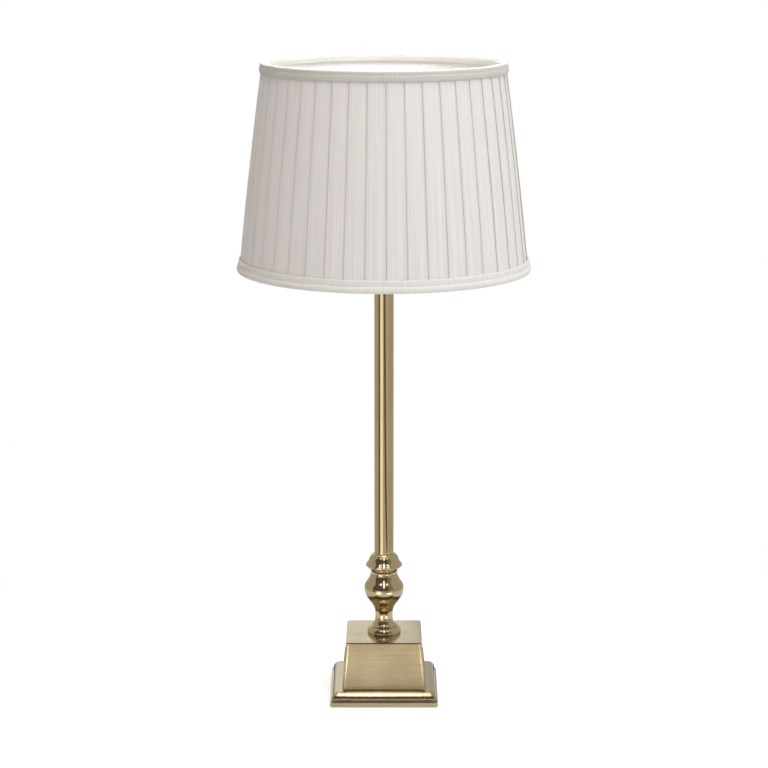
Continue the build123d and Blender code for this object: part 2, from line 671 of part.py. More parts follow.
# ---------------------------------------------------------------- push-bar switch, drawn in its off position
with BuildPart() as switch_bar:
    wire(BAR_LEFT, BAR_RIGHT, BAR_R)
    with Locations((BAR_REST_X, 0, BAR_AXIS_Z + (BAR_BLOCK_TOP - BAR_BLOCK_BOTTOM) / 2)):
        Box(BAR_BLOCK_LENGTH, BAR_BLOCK_WIDTH, BAR_BLOCK_TOP + BAR_BLOCK_BOTTOM)
    with Locations((BAR_REST_X, 0, BAR_AXIS_Z + BAR_BLOCK_TOP / 2)):
        Box(NOTCH_WIDTH, BAR_BLOCK_WIDTH, BAR_BLOCK_TOP, mode=Mode.SUBTRACT)
keep(switch_bar, "switch_bar")

with BuildPart() as switch_buttons:
    wire((LEFT_BUTTON_X - BUTTON_LENGTH, 0, BAR_AXIS_Z), (LEFT_BUTTON_X, 0, BAR_AXIS_Z), BUTTON_R)
    wire((RIGHT_BUTTON_X, 0, BAR_AXIS_Z), (RIGHT_BUTTON_X + BUTTON_LENGTH, 0, BAR_AXIS_Z), BUTTON_R)
    rims = switch_buttons.edges().filter_by(GeomType.CIRCLE).sort_by(Axis.X)
    fillet((rims[0], rims[-1]), BUTTON_EDGE)
    wire(BAR_LEFT, BAR_RIGHT, BAR_R, Mode.SUBTRACT)
keep(switch_buttons, "switch_buttons")

with BuildPart() as switch_rocker:
    with BuildSketch(Plane.XZ.offset(-ROCKER_WIDTH / 2)):
        with Locations((0, PIVOT_Z)):
            with Locations(Rotation(0, 0, -ROCKER_SWING / 2)):
                Circle(ROCKER_HUB_R)
                with Locations((0, -ROCKER_ARM / 2)):
                    Rectangle(ROCKER_WEB, ROCKER_ARM)
                with Locations((0, -ROCKER_ARM)):
                    Circle(ROCKER_TIP_R)
                with Locations((0, ROCKER_LUG / 2)):
                    Rectangle(ROCKER_WEB, ROCKER_LUG)
                with Locations((0, ROCKER_LUG)):
                    Circle(ROCKER_LUG_R)
                Circle(PIVOT_PIN_R + RUNNING_FIT, mode=Mode.SUBTRACT)
    extrude(amount=ROCKER_WIDTH)
keep(switch_rocker, "switch_rocker")

with BuildPart() as rocker_pin:
    wire(PIN_FRONT, PIN_BACK, PIVOT_PIN_R)
keep(rocker_pin, "rocker_pin")

# ---------------------------------------------------------------- shade frame
COVER_DEPTH = PLEAT_STEP + COVER_CLOTH
WIRE_DEPTH = COVER_DEPTH + CLOTH_GAP + RING_WIRE_R
LINING_DEPTH = WIRE_DEPTH + RING_WIRE_R + CLOTH_GAP
RING_R_BOTTOM = cloth_r(WIRE_DEPTH, RING_Z)
RING_R_TOP = cloth_r(WIRE_DEPTH, RING_TOP_Z)

with BuildPart() as shade_bottom_ring:
    with Locations((0, 0, RING_Z)):
        Torus(RING_R_BOTTOM, RING_WIRE_R)
keep(shade_bottom_ring, "shade_bottom_ring")

with BuildPart() as shade_top_ring:
    with Locations((0, 0, RING_TOP_Z)):
        Torus(RING_R_TOP, RING_WIRE_R)
keep(shade_top_ring, "shade_top_ring")

with BuildPart() as shade_struts:
    for strut in range(STRUT_COUNT):
        turn = 360 * (strut + 0.5) / STRUT_COUNT
        wire(polar(RING_R_BOTTOM, turn, RING_Z), polar(RING_R_TOP, turn, RING_TOP_Z), STRUT_WIRE_R)
    add(shade_bottom_ring.part, mode=Mode.SUBTRACT)
    add(shade_top_ring.part, mode=Mode.SUBTRACT)
keep(shade_struts, "shade_struts")

with BuildPart() as shade_carrier:
    tube(CARRIER_R, CARRIER_BORE_R, CARRIER_Z, CARRIER_TOP_Z)
keep(shade_carrier, "shade_carrier")

ARM_TURNS = [ARM_TURN + 360 * arm / ARM_COUNT for arm in range(ARM_COUNT)]
ARM_Z = CARRIER_Z + CARRIER_THICKNESS / 2
with BuildPart() as spider_arms:
    for turn in ARM_TURNS:
        wire(polar(CARRIER_BORE_R, turn, ARM_Z), polar(RING_R_BOTTOM, turn, RING_Z), ARM_WIRE_R)
    with Locations((0, 0, ARM_Z)):
        Cylinder(CARRIER_R, SHADE_DROP, mode=Mode.SUBTRACT)
    add(shade_bottom_ring.part, mode=Mode.SUBTRACT)
keep(spider_arms, "spider_arms")

with BuildPart() as shade_ring_nut:
    tube(RING_NUT_R, SKIRT_R + RUNNING_FIT, CARRIER_TOP_Z, CARRIER_TOP_Z + RING_NUT_HEIGHT)
    chamfer(shade_ring_nut.faces().sort_by(Axis.Z)[-1].edges().sort_by(SortBy.LENGTH)[-1], RING_NUT_EDGE)
keep(shade_ring_nut, "shade_ring_nut")

# ---------------------------------------------------------------- shade cloth
def pleat_outline(z):
    """Knife pleats seen from above: each panel starts at its fold and sinks to the foot of the next one's."""
    high = fold_r(z)
    low = high * (1 - PLEAT_STEP / FOLD_R_BOTTOM)
    points = []
    for pleat in range(PLEAT_COUNT):
        turn = PLEAT_START - 90 + 360 * pleat / PLEAT_COUNT
        points.append(polar(low, turn - PLEAT_LINE, z)[:2])
        points.append(polar(high, turn + PLEAT_LINE, z)[:2])
    return points


with BuildPart() as shade_cover:
    for z in (CLOTH_Z, CLOTH_TOP_Z):
        with BuildSketch(Plane.XY.offset(z)):
            Polygon(*pleat_outline(z), align=None)
    loft(ruled=True)
    for z in (CLOTH_Z, CLOTH_TOP_Z):
        with BuildSketch(Plane.XY.offset(z)):
            inner_r = cloth_r(COVER_DEPTH, z)
            RegularPolygon(inner_r, 2 * PLEAT_COUNT, major_radius=False, rotation=PLEAT_START - 90)
    loft(ruled=True, mode=Mode.SUBTRACT)
keep(shade_cover, "shade_cover")


def arm_slits():
    """The slits through which the arms reach the bottom ring, cut in the piece being made."""
    for turn in ARM_TURNS:
        wire(
            polar(CARRIER_BORE_R, turn, ARM_Z),
            polar(RING_R_BOTTOM, turn, RING_Z),
            ARM_WIRE_R + LOOSE_FIT,
            Mode.SUBTRACT,
        )


with BuildPart() as shade_lining:
    cone_band(LINING_DEPTH, LINING_DEPTH + LINING_CLOTH, CLOTH_Z, CLOTH_TOP_Z)
    arm_slits()
    for turn in ARM_TURNS:
        with Locations(Location(polar(RING_R_BOTTOM, turn, CLOTH_Z), (0, 0, turn))):
            Box(4 * LINING_DEPTH, 2 * (ARM_WIRE_R + LOOSE_FIT), 2 * (RING_Z - CLOTH_Z), mode=Mode.SUBTRACT)
keep(shade_lining, "shade_lining")

RETURN_DEPTH = LINING_DEPTH + LINING_CLOTH + CLOTH_GAP


def trim(edge_z, inward, outer_low_r, outer_high_r):
    """A folded binding over one edge of the shade; inward is +1 at the foot and -1 at the top."""
    hem_z = edge_z + inward * TRIM_CLOTH
    outer_z = edge_z + inward * TRIM_HEIGHT
    return_z = edge_z + inward * TRIM_RETURN
    with BuildSketch(Plane.XZ) as profile:
        Polygon(
            (outer_low_r, edge_z),
            (outer_high_r, outer_z),
            (fold_r(outer_z) + CLOTH_GAP, outer_z),
            (fold_r(hem_z) + CLOTH_GAP, hem_z),
            (cloth_r(RETURN_DEPTH, hem_z), hem_z),
            (cloth_r(RETURN_DEPTH, return_z), return_z),
            (cloth_r(RETURN_DEPTH + TRIM_CLOTH, return_z), return_z),
            (cloth_r(RETURN_DEPTH + TRIM_CLOTH, edge_z), edge_z),
            align=None,
        )
    revolve(profile.sketch, axis=Axis.Z)


with BuildPart() as bottom_trim:
    outer_z = SHADE_Z + TRIM_HEIGHT
    proud = CLOTH_GAP + TRIM_CLOTH + BOTTOM_TRIM_PROUD
    trim(SHADE_Z, 1, fold_r(SHADE_Z) + proud, fold_r(outer_z) + proud)
    rims = bottom_trim.faces().sort_by(Axis.Z)[0].edges().sort_by(SortBy.LENGTH)
    fillet(rims[-1], 2 * TRIM_EDGE)
    arm_slits()
keep(bottom_trim, "bottom_trim")

with BuildPart() as top_trim:
    outer_z = SHADE_TOP_Z - TRIM_HEIGHT
    TOP_TRIM_R = fold_r(outer_z) + CLOTH_GAP + TRIM_CLOTH
    trim(SHADE_TOP_Z, -1, TOP_TRIM_R, TOP_TRIM_R)
    rims = top_trim.faces().sort_by(Axis.Z)[-1].edges().sort_by(SortBy.LENGTH)
    fillet(rims[-1], TRIM_EDGE)
keep(top_trim, "top_trim")

# ---------------------------------------------------------------- bulb
CAP_TOP_OF_BULB_Z = BULB_Z + BULB_CAP_LENGTH
BULB_CENTRE_Z = BULB_Z + BULB_LENGTH - BULB_R
with BuildPart() as bulb_contact:
    with BuildSketch(Plane.XY.offset(BULB_Z)):
        Circle(BULB_TIP_R)
    extrude(amount=BULB_TIP_HEIGHT)
keep(bulb_contact, "bulb_contact")

with BuildPart() as bulb_insulator:
    with BuildSketch(Plane.XZ):
        Polygon(
            (0, BULB_Z + BULB_TIP_HEIGHT),
            (BULB_TIP_R, BULB_Z + BULB_TIP_HEIGHT),
            (BULB_CONE_R, BULB_THREAD_Z),
            (0, BULB_THREAD_Z),
            align=None,
        )
    revolve(axis=Axis.Z)
keep(bulb_insulator, "bulb_insulator")

with BuildPart() as bulb_cap:
    with BuildSketch(Plane.XZ):
        with BuildLine():
            middle_r = (THREAD_CREST_R + THREAD_ROOT_R) / 2
            thread_rings(THREAD_CREST_R, THREAD_ROOT_R, BULB_THREAD_Z, BULB_TURNS)
            Polyline(
                (middle_r, BULB_THREAD_Z + BULB_TURNS * THREAD_PITCH),
                (middle_r, CAP_TOP_OF_BULB_Z),
                (BULB_CAP_BORE_R, CAP_TOP_OF_BULB_Z),
                (BULB_CAP_BORE_R, BULB_THREAD_Z + CONTACT_THICKNESS),
                (0, BULB_THREAD_Z + CONTACT_THICKNESS),
                (0, BULB_THREAD_Z),
                (middle_r, BULB_THREAD_Z),
            )
        make_face()
    revolve(axis=Axis.Z)
keep(bulb_cap, "bulb_cap")


def bulb_outline(radius, neck_r, close_z):
    """Half outline of the glass envelope, closed along the axis, in the sketch being made."""
    with BuildLine() as outline:
        neck = Line((0, close_z), (neck_r, close_z))
        flare = Spline(neck @ 1, (radius, BULB_CENTRE_Z), tangents=[(0.1, 1), (0, 1)])
        crown = ThreePointArc(
            flare @ 1,
            (radius * math.cos(math.radians(45)), BULB_CENTRE_Z + radius * math.sin(math.radians(45))),
            (0, BULB_CENTRE_Z + radius),
        )
        Line(crown @ 1, neck @ 0)
    make_face(outline.edges())


with BuildPart() as bulb_glass:
    with BuildSketch(Plane.XZ):
        bulb_outline(BULB_R, BULB_NECK_R, CAP_TOP_OF_BULB_Z)
    revolve(axis=Axis.Z)
    with BuildSketch(Plane.XZ):
        bulb_outline(BULB_R - BULB_WALL, BULB_NECK_R - BULB_WALL, CAP_TOP_OF_BULB_Z)
    revolve(axis=Axis.Z, mode=Mode.SUBTRACT)
keep(bulb_glass, "bulb_glass")

MOUNT_TOP_Z = CAP_TOP_OF_BULB_Z + MOUNT_HEIGHT
with BuildPart() as filament_stem:
    with BuildSketch(Plane.XZ):
        Polygon(
            (0, CAP_TOP_OF_BULB_Z),
            (MOUNT_FOOT_R, CAP_TOP_OF_BULB_Z),
            (MOUNT_R, CAP_TOP_OF_BULB_Z + MOUNT_FOOT_HEIGHT),
            (MOUNT_R, MOUNT_TOP_Z),
            (MOUNT_DISC_R, MOUNT_TOP_Z),
            (MOUNT_DISC_R, MOUNT_TOP_Z + MOUNT_DISC_THICKNESS),
            (0, MOUNT_TOP_Z + MOUNT_DISC_THICKNESS),
            align=None,
        )
    revolve(axis=Axis.Z)
keep(filament_stem, "filament_stem")

with BuildPart() as led_filaments:
    for filament in range(FILAMENT_COUNT):
        turn = 360 * (filament + 0.5) / FILAMENT_COUNT
        foot = polar(FILAMENT_CIRCLE_R, turn, MOUNT_TOP_Z - FILAMENT_LENGTH)
        wire(foot, polar(FILAMENT_CIRCLE_R, turn, MOUNT_TOP_Z), FILAMENT_R)
keep(led_filaments, "led_filaments")
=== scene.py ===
"""Candlestick table lamp with a knife-pleated linen shade: the finished look around its CAD frame.

Run as a script in Blender 4.5. Lengths are in metres, +Z is up, the lamp's axis is Z and its front is -Y.
"""

import math
import random

import bmesh
import bpy
from bpy.props import FloatProperty, FloatVectorProperty, IntProperty, PointerProperty
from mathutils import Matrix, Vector, noise


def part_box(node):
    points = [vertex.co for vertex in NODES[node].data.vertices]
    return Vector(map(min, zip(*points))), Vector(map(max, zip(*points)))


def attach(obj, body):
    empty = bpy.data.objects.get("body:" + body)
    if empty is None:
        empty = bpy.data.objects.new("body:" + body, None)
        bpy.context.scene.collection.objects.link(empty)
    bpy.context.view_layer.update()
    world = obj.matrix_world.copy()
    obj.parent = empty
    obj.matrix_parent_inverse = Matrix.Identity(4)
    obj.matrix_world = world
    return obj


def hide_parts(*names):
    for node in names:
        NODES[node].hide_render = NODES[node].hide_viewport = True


bl_info = {
    "name": "Candlestick Lamp",
    "version": (1, 0, 0),
    "blender": (4, 5, 0),
    "location": "View3D > Sidebar > Lamp",
    "description": "Dresses a candlestick table lamp: pleated shade, bindings, lampholder, finishes and studio",
    "category": "Add Mesh",
}

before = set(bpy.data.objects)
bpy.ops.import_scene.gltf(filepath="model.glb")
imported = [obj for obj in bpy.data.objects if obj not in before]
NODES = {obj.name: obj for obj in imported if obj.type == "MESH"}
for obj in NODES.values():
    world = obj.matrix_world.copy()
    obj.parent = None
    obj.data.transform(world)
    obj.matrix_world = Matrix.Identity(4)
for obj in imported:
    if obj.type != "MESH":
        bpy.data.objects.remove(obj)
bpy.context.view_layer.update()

COVER_LOW, COVER_HIGH = (corner.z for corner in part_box("shade_cover"))
SHADE_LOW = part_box("bottom_trim")[0].z
SHADE_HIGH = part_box("top_trim")[1].z
ARM_TURNS = (90, 210, 330)
WARM_ROOM = (1.0, 0.95, 0.80)
MM = 0.001


# ---------------------------------------------------------------- settings
def length(name, description, default):
    """A size that the sidebar shows as a length."""
    return FloatProperty(name=name, description=description, default=default, unit="LENGTH", precision=5)


def colour(name, description, default):
    """A colour that the sidebar shows as a swatch."""
    return FloatVectorProperty(
        name=name, description=description, default=default, subtype="COLOR", size=3, min=0, max=1
    )


def angle_in_degrees(name, description, degrees):
    """A turn that the sidebar shows in degrees."""
    return FloatProperty(name=name, description=description, default=math.radians(degrees), subtype="ANGLE")


def watts(name, description, default):
    """A lamp's power in watts."""
    return FloatProperty(name=name, description=description, default=default, min=0, unit="POWER")


def number(name, description, default, low=0, high=2):
    """A plain number kept within a range."""
    return FloatProperty(name=name, description=description, default=default, min=low, max=high)


class ShadeSettings(bpy.types.PropertyGroup):
    """Sizes and cloths of the shade."""

    fold_low: length("Fold radius, foot", "Radius of the fold line at the shade's lower edge", 0.1485)
    fold_high: length("Fold radius, top", "Radius of the fold line at the shade's upper edge", 0.1232)
    pleats: IntProperty(name="Pleats", description="Knife pleats around the shade", default=44, min=8, max=120)
    start: angle_in_degrees("First fold", "Angle of the first fold from the front", 1.05)
    pleat_cloth: length("Cloth in a pleat", "Flat width of linen that one pleat takes", 0.036)
    step: length("Step", "How far a panel rises from its neighbour's fold", 0.0011)
    cloth: length("Linen thickness", "Thickness of the pleated linen", 0.0003)
    bow: length("Bow", "How far the cover swells between its rings", 0.0010)
    binding_height: length("Binding height, foot", "Height of the lower binding on the outside", 0.0125)
    rim_height: length("Binding height, top", "Height of the upper binding on the outside", 0.0105)
    binding_return: length("Binding return", "Height of each binding on the inside", 0.008)
    binding_cloth: length("Binding thickness", "Thickness of the folded binding", 0.0007)
    lining_depth: length("Lining depth", "How far the lining lies inside the fold line", 0.0045)
    linen: colour("Linen", "Colour of the pleated linen", (0.825, 0.803, 0.800))
    # painted shade: the colour the linen is given deep in a fold, where shade falls
    painted_crease_shade: colour("Crease", "Colour of the linen deep in a fold", (0.55, 0.51, 0.36))
    binding: colour("Lower binding", "Colour of the lower binding", (0.800, 0.786, 0.755))
    # painted shade: the upper binding is coloured darker than the lower one, for the shade that falls on it
    rim: colour("Upper binding", "Colour of the upper binding", (0.625, 0.612, 0.572))
    lining: colour("Lining", "Colour of the lining", (0.92, 0.91, 0.90))


class BrassSettings(bpy.types.PropertyGroup):
    """Finish of the brass."""

    polish: colour("Polished brass", "Colour of the lacquered, polished brass", (0.570, 0.465, 0.290))
    tarnish: colour("Tarnish", "Colour of the thin darker film on the brass", (0.400, 0.300, 0.150))
    roughness: number("Roughness", "Roughness of the polish", 0.08, high=1)


class HolderSettings(bpy.types.PropertyGroup):
    """Details of the lampholder."""

    ribs: IntProperty(name="Grip ribs", description="Ribs around the shade ring nut", default=36, min=6, max=90)
    thread_pitch: length("Thread pitch", "Pitch of the skirt's outer thread", 0.0025)
    thread_depth: length("Thread depth", "Depth of the skirt's outer thread", 0.0005)
    moulding: colour("Moulding", "Colour of the moulded buttons and ring nut", (0.030, 0.020, 0.015))


class StudioSettings(bpy.types.PropertyGroup):
    """Camera, lamps and floor."""

    distance: length("Camera distance", "Distance in front of the lamp's axis", 2.371)
    height: length("Camera height", "Height above the floor", 0.8437)
    pitch: angle_in_degrees("Camera pitch", "How far the camera looks down", 12.13)
    lens: number("Lens", "Focal length in millimetres", 109.4, 10, 400)
    key: watts("Key lamp", "Power of the key lamp, front right", 5.6)
    top: watts("Top lamp", "Power of the overhead lamp", 11)
    inside: watts("Shade lamp", "Power of the lamp over the shade", 1.1)
    back: watts("Back lamp", "Power of the lamp behind", 14)
    ambient: number("Room light", "Strength of the room's light", 0.74)
    room: number("Room in the brass", "Strength of the room that brass shows", 0.56)
    dark_side: angle_in_degrees("Dark side", "Angle from the front where the room's light is missing", -122)
    floor: colour("Floor", "Colour of the floor", (0.80, 0.80, 0.80))


def shade():
    """The shade's settings."""
    return bpy.context.scene.lamp_shade


# ---------------------------------------------------------------- modelling helpers
def deselect_all():
    """Leaves object mode with nothing selected."""
    if bpy.context.object and bpy.context.object.mode != "OBJECT":
        bpy.ops.object.mode_set(mode="OBJECT")
    bpy.ops.object.select_all(action="DESELECT")


def select_only(piece):
    """Leaves object mode with one piece selected and active."""
    deselect_all()
    bpy.context.view_layer.objects.active = piece
    piece.select_set(True)


def add_object(name, data):
    """Links a new object with its data into the scene."""
    made = bpy.data.objects.new(name, data)
    bpy.context.scene.collection.objects.link(made)
    return made


def edit(piece):
    """Opens a piece in edit mode with all of it selected."""
    select_only(piece)
    bpy.ops.object.mode_set(mode="EDIT")
    bpy.ops.mesh.select_all(action="SELECT")


def pick(piece, kind, test):
    """Selects the faces or edges of the open piece that pass a test."""
    bpy.ops.mesh.select_mode(type=kind)
    bpy.ops.mesh.select_all(action="DESELECT")
    mesh = bmesh.from_edit_mesh(piece.data)
    for part in {"FACE": mesh.faces, "EDGE": mesh.edges}[kind]:
        if test(part):
            part.select_set(True)
    mesh.select_flush_mode()
    bmesh.update_edit_mesh(piece.data)


def close_edit(piece, name):
    """Merges doubles, turns the faces outwards, and names the piece with its place in its mesh."""
    bpy.ops.mesh.select_all(action="SELECT")
    bpy.ops.mesh.remove_doubles(threshold=1e-6)
    bpy.ops.mesh.normals_make_consistent(inside=False)
    bpy.ops.object.mode_set(mode="OBJECT")
    bpy.ops.object.transform_apply(location=True, rotation=True, scale=True)
    piece.name = name
    piece.data.name = name
    return piece


def apply_modifier(piece, kind, name, **settings):
    """Adds a modifier to the piece and applies it."""
    select_only(piece)
    modifier = piece.modifiers.new(name, kind)
    for key, value in settings.items():
        setattr(modifier, key, value)
    bpy.ops.object.modifier_apply(modifier=modifier.name)


def smooth(piece, degrees):
    """Shades a piece smooth, with edges sharper than the angle left crisp."""
    select_only(piece)
    bpy.ops.object.shade_smooth_by_angle(angle=math.radians(degrees))


def turned(name, profile, steps=96, axis=(0, 0, 1)):
    """Turns a profile of (radius, height) points about an axis through the origin, as on a lathe."""
    deselect_all()
    along = Vector(axis)
    out = Vector((1, 0, 0)) if abs(along.z) > 0.5 else Vector((0, 0, 1))
    points = [out * radius + along * height for radius, height in profile]
    bpy.ops.mesh.primitive_plane_add(size=MM, location=points[0])
    piece = bpy.context.active_object
    edit(piece)
    bpy.ops.mesh.select_mode(type="VERT")
    bpy.ops.mesh.merge(type="CENTER")
    for before, after in zip(points, points[1:]):
        bpy.ops.mesh.extrude_region_move(TRANSFORM_OT_translate={"value": after - before})
    bpy.ops.mesh.select_all(action="SELECT")
    bpy.ops.mesh.spin(steps=steps, angle=math.tau, center=(0, 0, 0), axis=axis)
    return close_edit(piece, name)


def cloth_mesh(name, points, faces, uvs, values=None):
    """A cloth piece from its points and quads, with its flat coordinates as UVs and an optional painted crease shade
    value.
    """
    mesh = bpy.data.meshes.new(name)
    mesh.from_pydata(points, [], faces)
    layer = mesh.uv_layers.new(name="UVMap")
    for loop, uv in zip(layer.data, uvs):
        loop.uv = uv
    if values:
        # the painted crease shade, by which the linen finish darkens the cloth
        attribute = mesh.attributes.new("painted_crease_shade", "FLOAT", "POINT")
        attribute.data.foreach_set("value", values)
    mesh.update()
    return add_object(name, mesh)


def finish_piece(piece, finish, slot, body, *nodes):
    """Gives a piece its finish, its body and the CAD nodes that it stands for."""
    piece.data.materials.clear()
    piece.data.materials.append(finish)
    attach(piece, body)
    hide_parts(*nodes)


def finish_cloth(piece, thickness, crisp, finish, slot, replaced):
    """Gives a cloth its thickness, its shading, its finish and the CAD node that it stands for."""
    apply_modifier(piece, "SOLIDIFY", "thickness", thickness=thickness, offset=0)
    smooth(piece, crisp)
    finish_piece(piece, finish, slot, "root", replaced)


def fold_r(z):
    """Radius of the shade's fold line at height z."""
    cloth = shade()
    return cloth.fold_low + (cloth.fold_high - cloth.fold_low) * (z - SHADE_LOW) / (SHADE_HIGH - SHADE_LOW)


def cover_z(rise):
    """Height of a share of the way up the shade's cloth."""
    return COVER_LOW + (COVER_HIGH - COVER_LOW) * rise


def polar(radius, turn, z):
    """The point at a radius and an angle from the front, counted towards the right."""
    return (radius * math.sin(turn), -radius * math.cos(turn), z)


def outline_mm(z, *points):
    """Profile points in metres, from (radius, height over z) in millimetres."""
    return [(radius * MM, z + height * MM) for radius, height in points]


# ---------------------------------------------------------------- node helpers
def node(tree, kind, inputs=None, **settings):
    """Adds a node, with its settings, and its inputs linked or set."""
    made = tree.nodes.new(kind)
    for key, value in settings.items():
        setattr(made, key, value)
    for key, value in (inputs or {}).items():
        if isinstance(value, bpy.types.NodeSocket):
            tree.links.new(value, made.inputs[key])
        else:
            made.inputs[key].default_value = value
    return made


def maths(tree, operation, a, b=0.0, clamp=False):
    """One arithmetic step."""
    return node(tree, "ShaderNodeMath", {0: a, 1: b}, operation=operation, use_clamp=clamp).outputs[0]


def times(tree, a, b, clamp=False):
    """One value times another."""
    return maths(tree, "MULTIPLY", a, b, clamp)


def plus(tree, a, b, clamp=False):
    """One value plus another."""
    return maths(tree, "ADD", a, b, clamp)


def remap(tree, value, low, high, to_low=0.0, to_high=1.0):
    """A value's range stretched to another, and kept inside it."""
    inputs = {"Value": value, "From Min": low, "From Max": high, "To Min": to_low, "To Max": to_high}
    return node(tree, "ShaderNodeMapRange", inputs).outputs[0]


def blend_colour(tree, factor, a, b):
    """Two colours blended by a factor."""
    return node(tree, "ShaderNodeMix", {0: factor, 6: a, 7: b}, data_type="RGBA").outputs[2]


def stretched(tree, vector, scale):
    """The coordinates scaled along each axis."""
    return node(tree, "ShaderNodeMapping", {"Vector": vector, "Scale": scale}).outputs[0]


def noise_at(tree, vector, scale, detail, roughness=0.5):
    """Soft noise at a scale in turns to the metre."""
    inputs = {"Vector": vector, "Scale": scale, "Detail": detail, "Roughness": roughness}
    return node(tree, "ShaderNodeTexNoise", inputs).outputs["Fac"]


def new_group(name, vectors, floats, outputs):
    """An empty node group with named vector and value inputs, and named value outputs."""
    group = bpy.data.node_groups.new(name, "ShaderNodeTree")
    rows = ((vectors, "INPUT", "Vector"), (floats, "INPUT", "Float"), (outputs, "OUTPUT", "Float"))
    for labels, side, kind in rows:
        for label in labels:
            group.interface.new_socket(label, in_out=side, socket_type="NodeSocket" + kind)
    return group, node(group, "NodeGroupInput").outputs, node(group, "NodeGroupOutput").inputs


def shared_group(name, build):
    """The node group of that name, built the first time that it is asked for."""
    return bpy.data.node_groups.get(name) or build(name)


def weave_group(name):
    """A plain weave on flat cloth coordinates in metres, with slubs and streaks of uneven thread."""
    group, given, put = new_group(name, ["Vector"], ["Threads"], ["Height", "Streaks", "Threads"])
    vector, threads = given["Vector"], given["Threads"]
    wander = noise_at(group, stretched(group, vector, (60, 60, 60)), 1.0, 2)
    split = node(group, "ShaderNodeSeparateXYZ", {0: vector}).outputs
    phase = times(group, wander, 5.0)
    turns = times(group, threads, math.tau)
    across = plus(group, times(group, split[0], turns), phase)
    along = plus(group, times(group, split[1], turns), phase)
    warp = maths(group, "ABSOLUTE", maths(group, "SINE", times(group, across, 0.5)))
    weft = maths(group, "ABSOLUTE", maths(group, "SINE", times(group, along, 0.5)))
    cross = times(group, maths(group, "SINE", across), maths(group, "SINE", along))
    over = times(group, plus(group, cross, 1.0), 0.5)
    body = times(group, warp, weft)
    knit = plus(group, times(group, body, 0.6), times(group, over, 0.4))
    upright = noise_at(group, stretched(group, vector, (900, 5, 1)), 1.0, 4, 0.65)
    level = noise_at(group, stretched(group, vector, (14, 1300, 1)), 1.0, 3, 0.6)
    slub = plus(group, times(group, upright, 0.85), times(group, level, 0.15))
    group.links.new(plus(group, knit, slub), put["Height"])
    group.links.new(remap(group, slub, 0.36, 0.64), put["Streaks"])
    group.links.new(knit, put["Threads"])
    return group


def wear_group(name):
    """Handling marks on metal: a cloudy film, fine rubbed lines and small dull spots."""
    group, given, put = new_group(name, ["Vector", "Rub"], [], ["Film", "Lines", "Spots"])
    cloud = noise_at(group, given["Vector"], 26, 4, 0.55)
    rubbed = node(group, "ShaderNodeVectorMath", {0: given["Vector"], 1: given["Rub"]}, operation="MULTIPLY")
    lines = noise_at(group, rubbed.outputs[0], 1.0, 4, 0.65)
    inputs = {"Vector": given["Vector"], "Scale": 330.0, "Randomness": 1.0}
    cells = node(group, "ShaderNodeTexVoronoi", inputs).outputs["Distance"]
    group.links.new(remap(group, cloud, 0.42, 0.68), put["Film"])
    group.links.new(remap(group, lines, 0.35, 0.68), put["Lines"])
    group.links.new(remap(group, cells, 0.0, 0.12, 1.0, 0.0), put["Spots"])
    return group


def grain_group(name):
    """Fine even grain for glaze, plastic, paint and felt."""
    group, given, put = new_group(name, ["Vector"], ["Scale"], ["Grain", "Patches"])
    grain = noise_at(group, given["Vector"], given["Scale"], 5)
    patches = noise_at(group, given["Vector"], 40, 3)
    group.links.new(remap(group, grain, 0.3, 0.7), put["Grain"])
    group.links.new(remap(group, patches, 0.35, 0.65), put["Patches"])
    return group


def placed(tree, name, build, inputs):
    """A shared effect placed in a material."""
    return node(tree, "ShaderNodeGroup", inputs, node_tree=shared_group(name, build)).outputs


def new_finish(name, **values):
    """A material with its shader's plain values set, and its tree and shader to link to."""
    finish = bpy.data.materials.new(name)
    finish.use_nodes = True
    shader = finish.node_tree.nodes["Principled BSDF"]
    for key, value in values.items():
        shader.inputs[key.replace("_", " ")].default_value = value
    return finish, finish.node_tree, shader.inputs


def bump(tree, height, distance, strength=1.0):
    """A bump from a height, in metres."""
    return node(tree, "ShaderNodeBump", {"Height": height, "Distance": distance, "Strength": strength}).outputs[0]


def feed(tree, put, tone, rough, normal=None):
    """Links a finish's colour, roughness and bump to its shader."""
    tree.links.new(tone, put["Base Color"])
    tree.links.new(rough, put["Roughness"])
    if normal:
        tree.links.new(normal, put["Normal"])


def rgba(rgb, factor=1.0):
    """A colour with its alpha, lighter or darker by a factor."""
    return tuple(min(1.0, channel * factor) for channel in rgb) + (1.0,)


def light_node(tree, kind, tone, strength):
    """An Emission or Background node's light."""
    return node(tree, "ShaderNode" + kind, {"Color": rgba(tone), "Strength": strength}).outputs[0]


def object_vector(tree):
    """The piece's own coordinates, in metres."""
    return node(tree, "ShaderNodeTexCoord").outputs["Object"]


# ---------------------------------------------------------------- finishes
def linen_finish(name, base, deep, threads, thread_depth, paints_crease_shade):
    """Undyed cloth: a plain weave with uneven thread, painted shade between the threads, and, where asked, painted
    shade deep in the folds.
    """
    finish, tree, put = new_finish(
        name, Roughness=0.9, Specular_IOR_Level=0.2, Sheen_Weight=0.12, Sheen_Roughness=0.5
    )
    flat = node(tree, "ShaderNodeTexCoord").outputs["UV"]
    weave = placed(tree, "woven thread", weave_group, {"Vector": flat, "Threads": threads})
    light = blend_colour(tree, weave["Streaks"], rgba(base, 0.91), rgba(base, 1.06))
    # painted shade between the threads: the low parts of the weave blended towards the shade colour
    tone = blend_colour(tree, remap(tree, weave["Threads"], 0.0, 1.0, 0.10, 0.0), light, rgba(deep))
    if paints_crease_shade:
        # painted shade: the linen blended towards the shade colour where the crease value is high
        painted_crease_shade = node(tree, "ShaderNodeAttribute", attribute_name="painted_crease_shade").outputs["Fac"]
        tone = blend_colour(tree, times(tree, painted_crease_shade, 0.42, clamp=True), tone, rgba(deep))
    rough = remap(tree, weave["Streaks"], 0.0, 1.0, 0.95, 0.82)
    feed(tree, put, tone, rough, bump(tree, weave["Height"], thread_depth))
    return finish


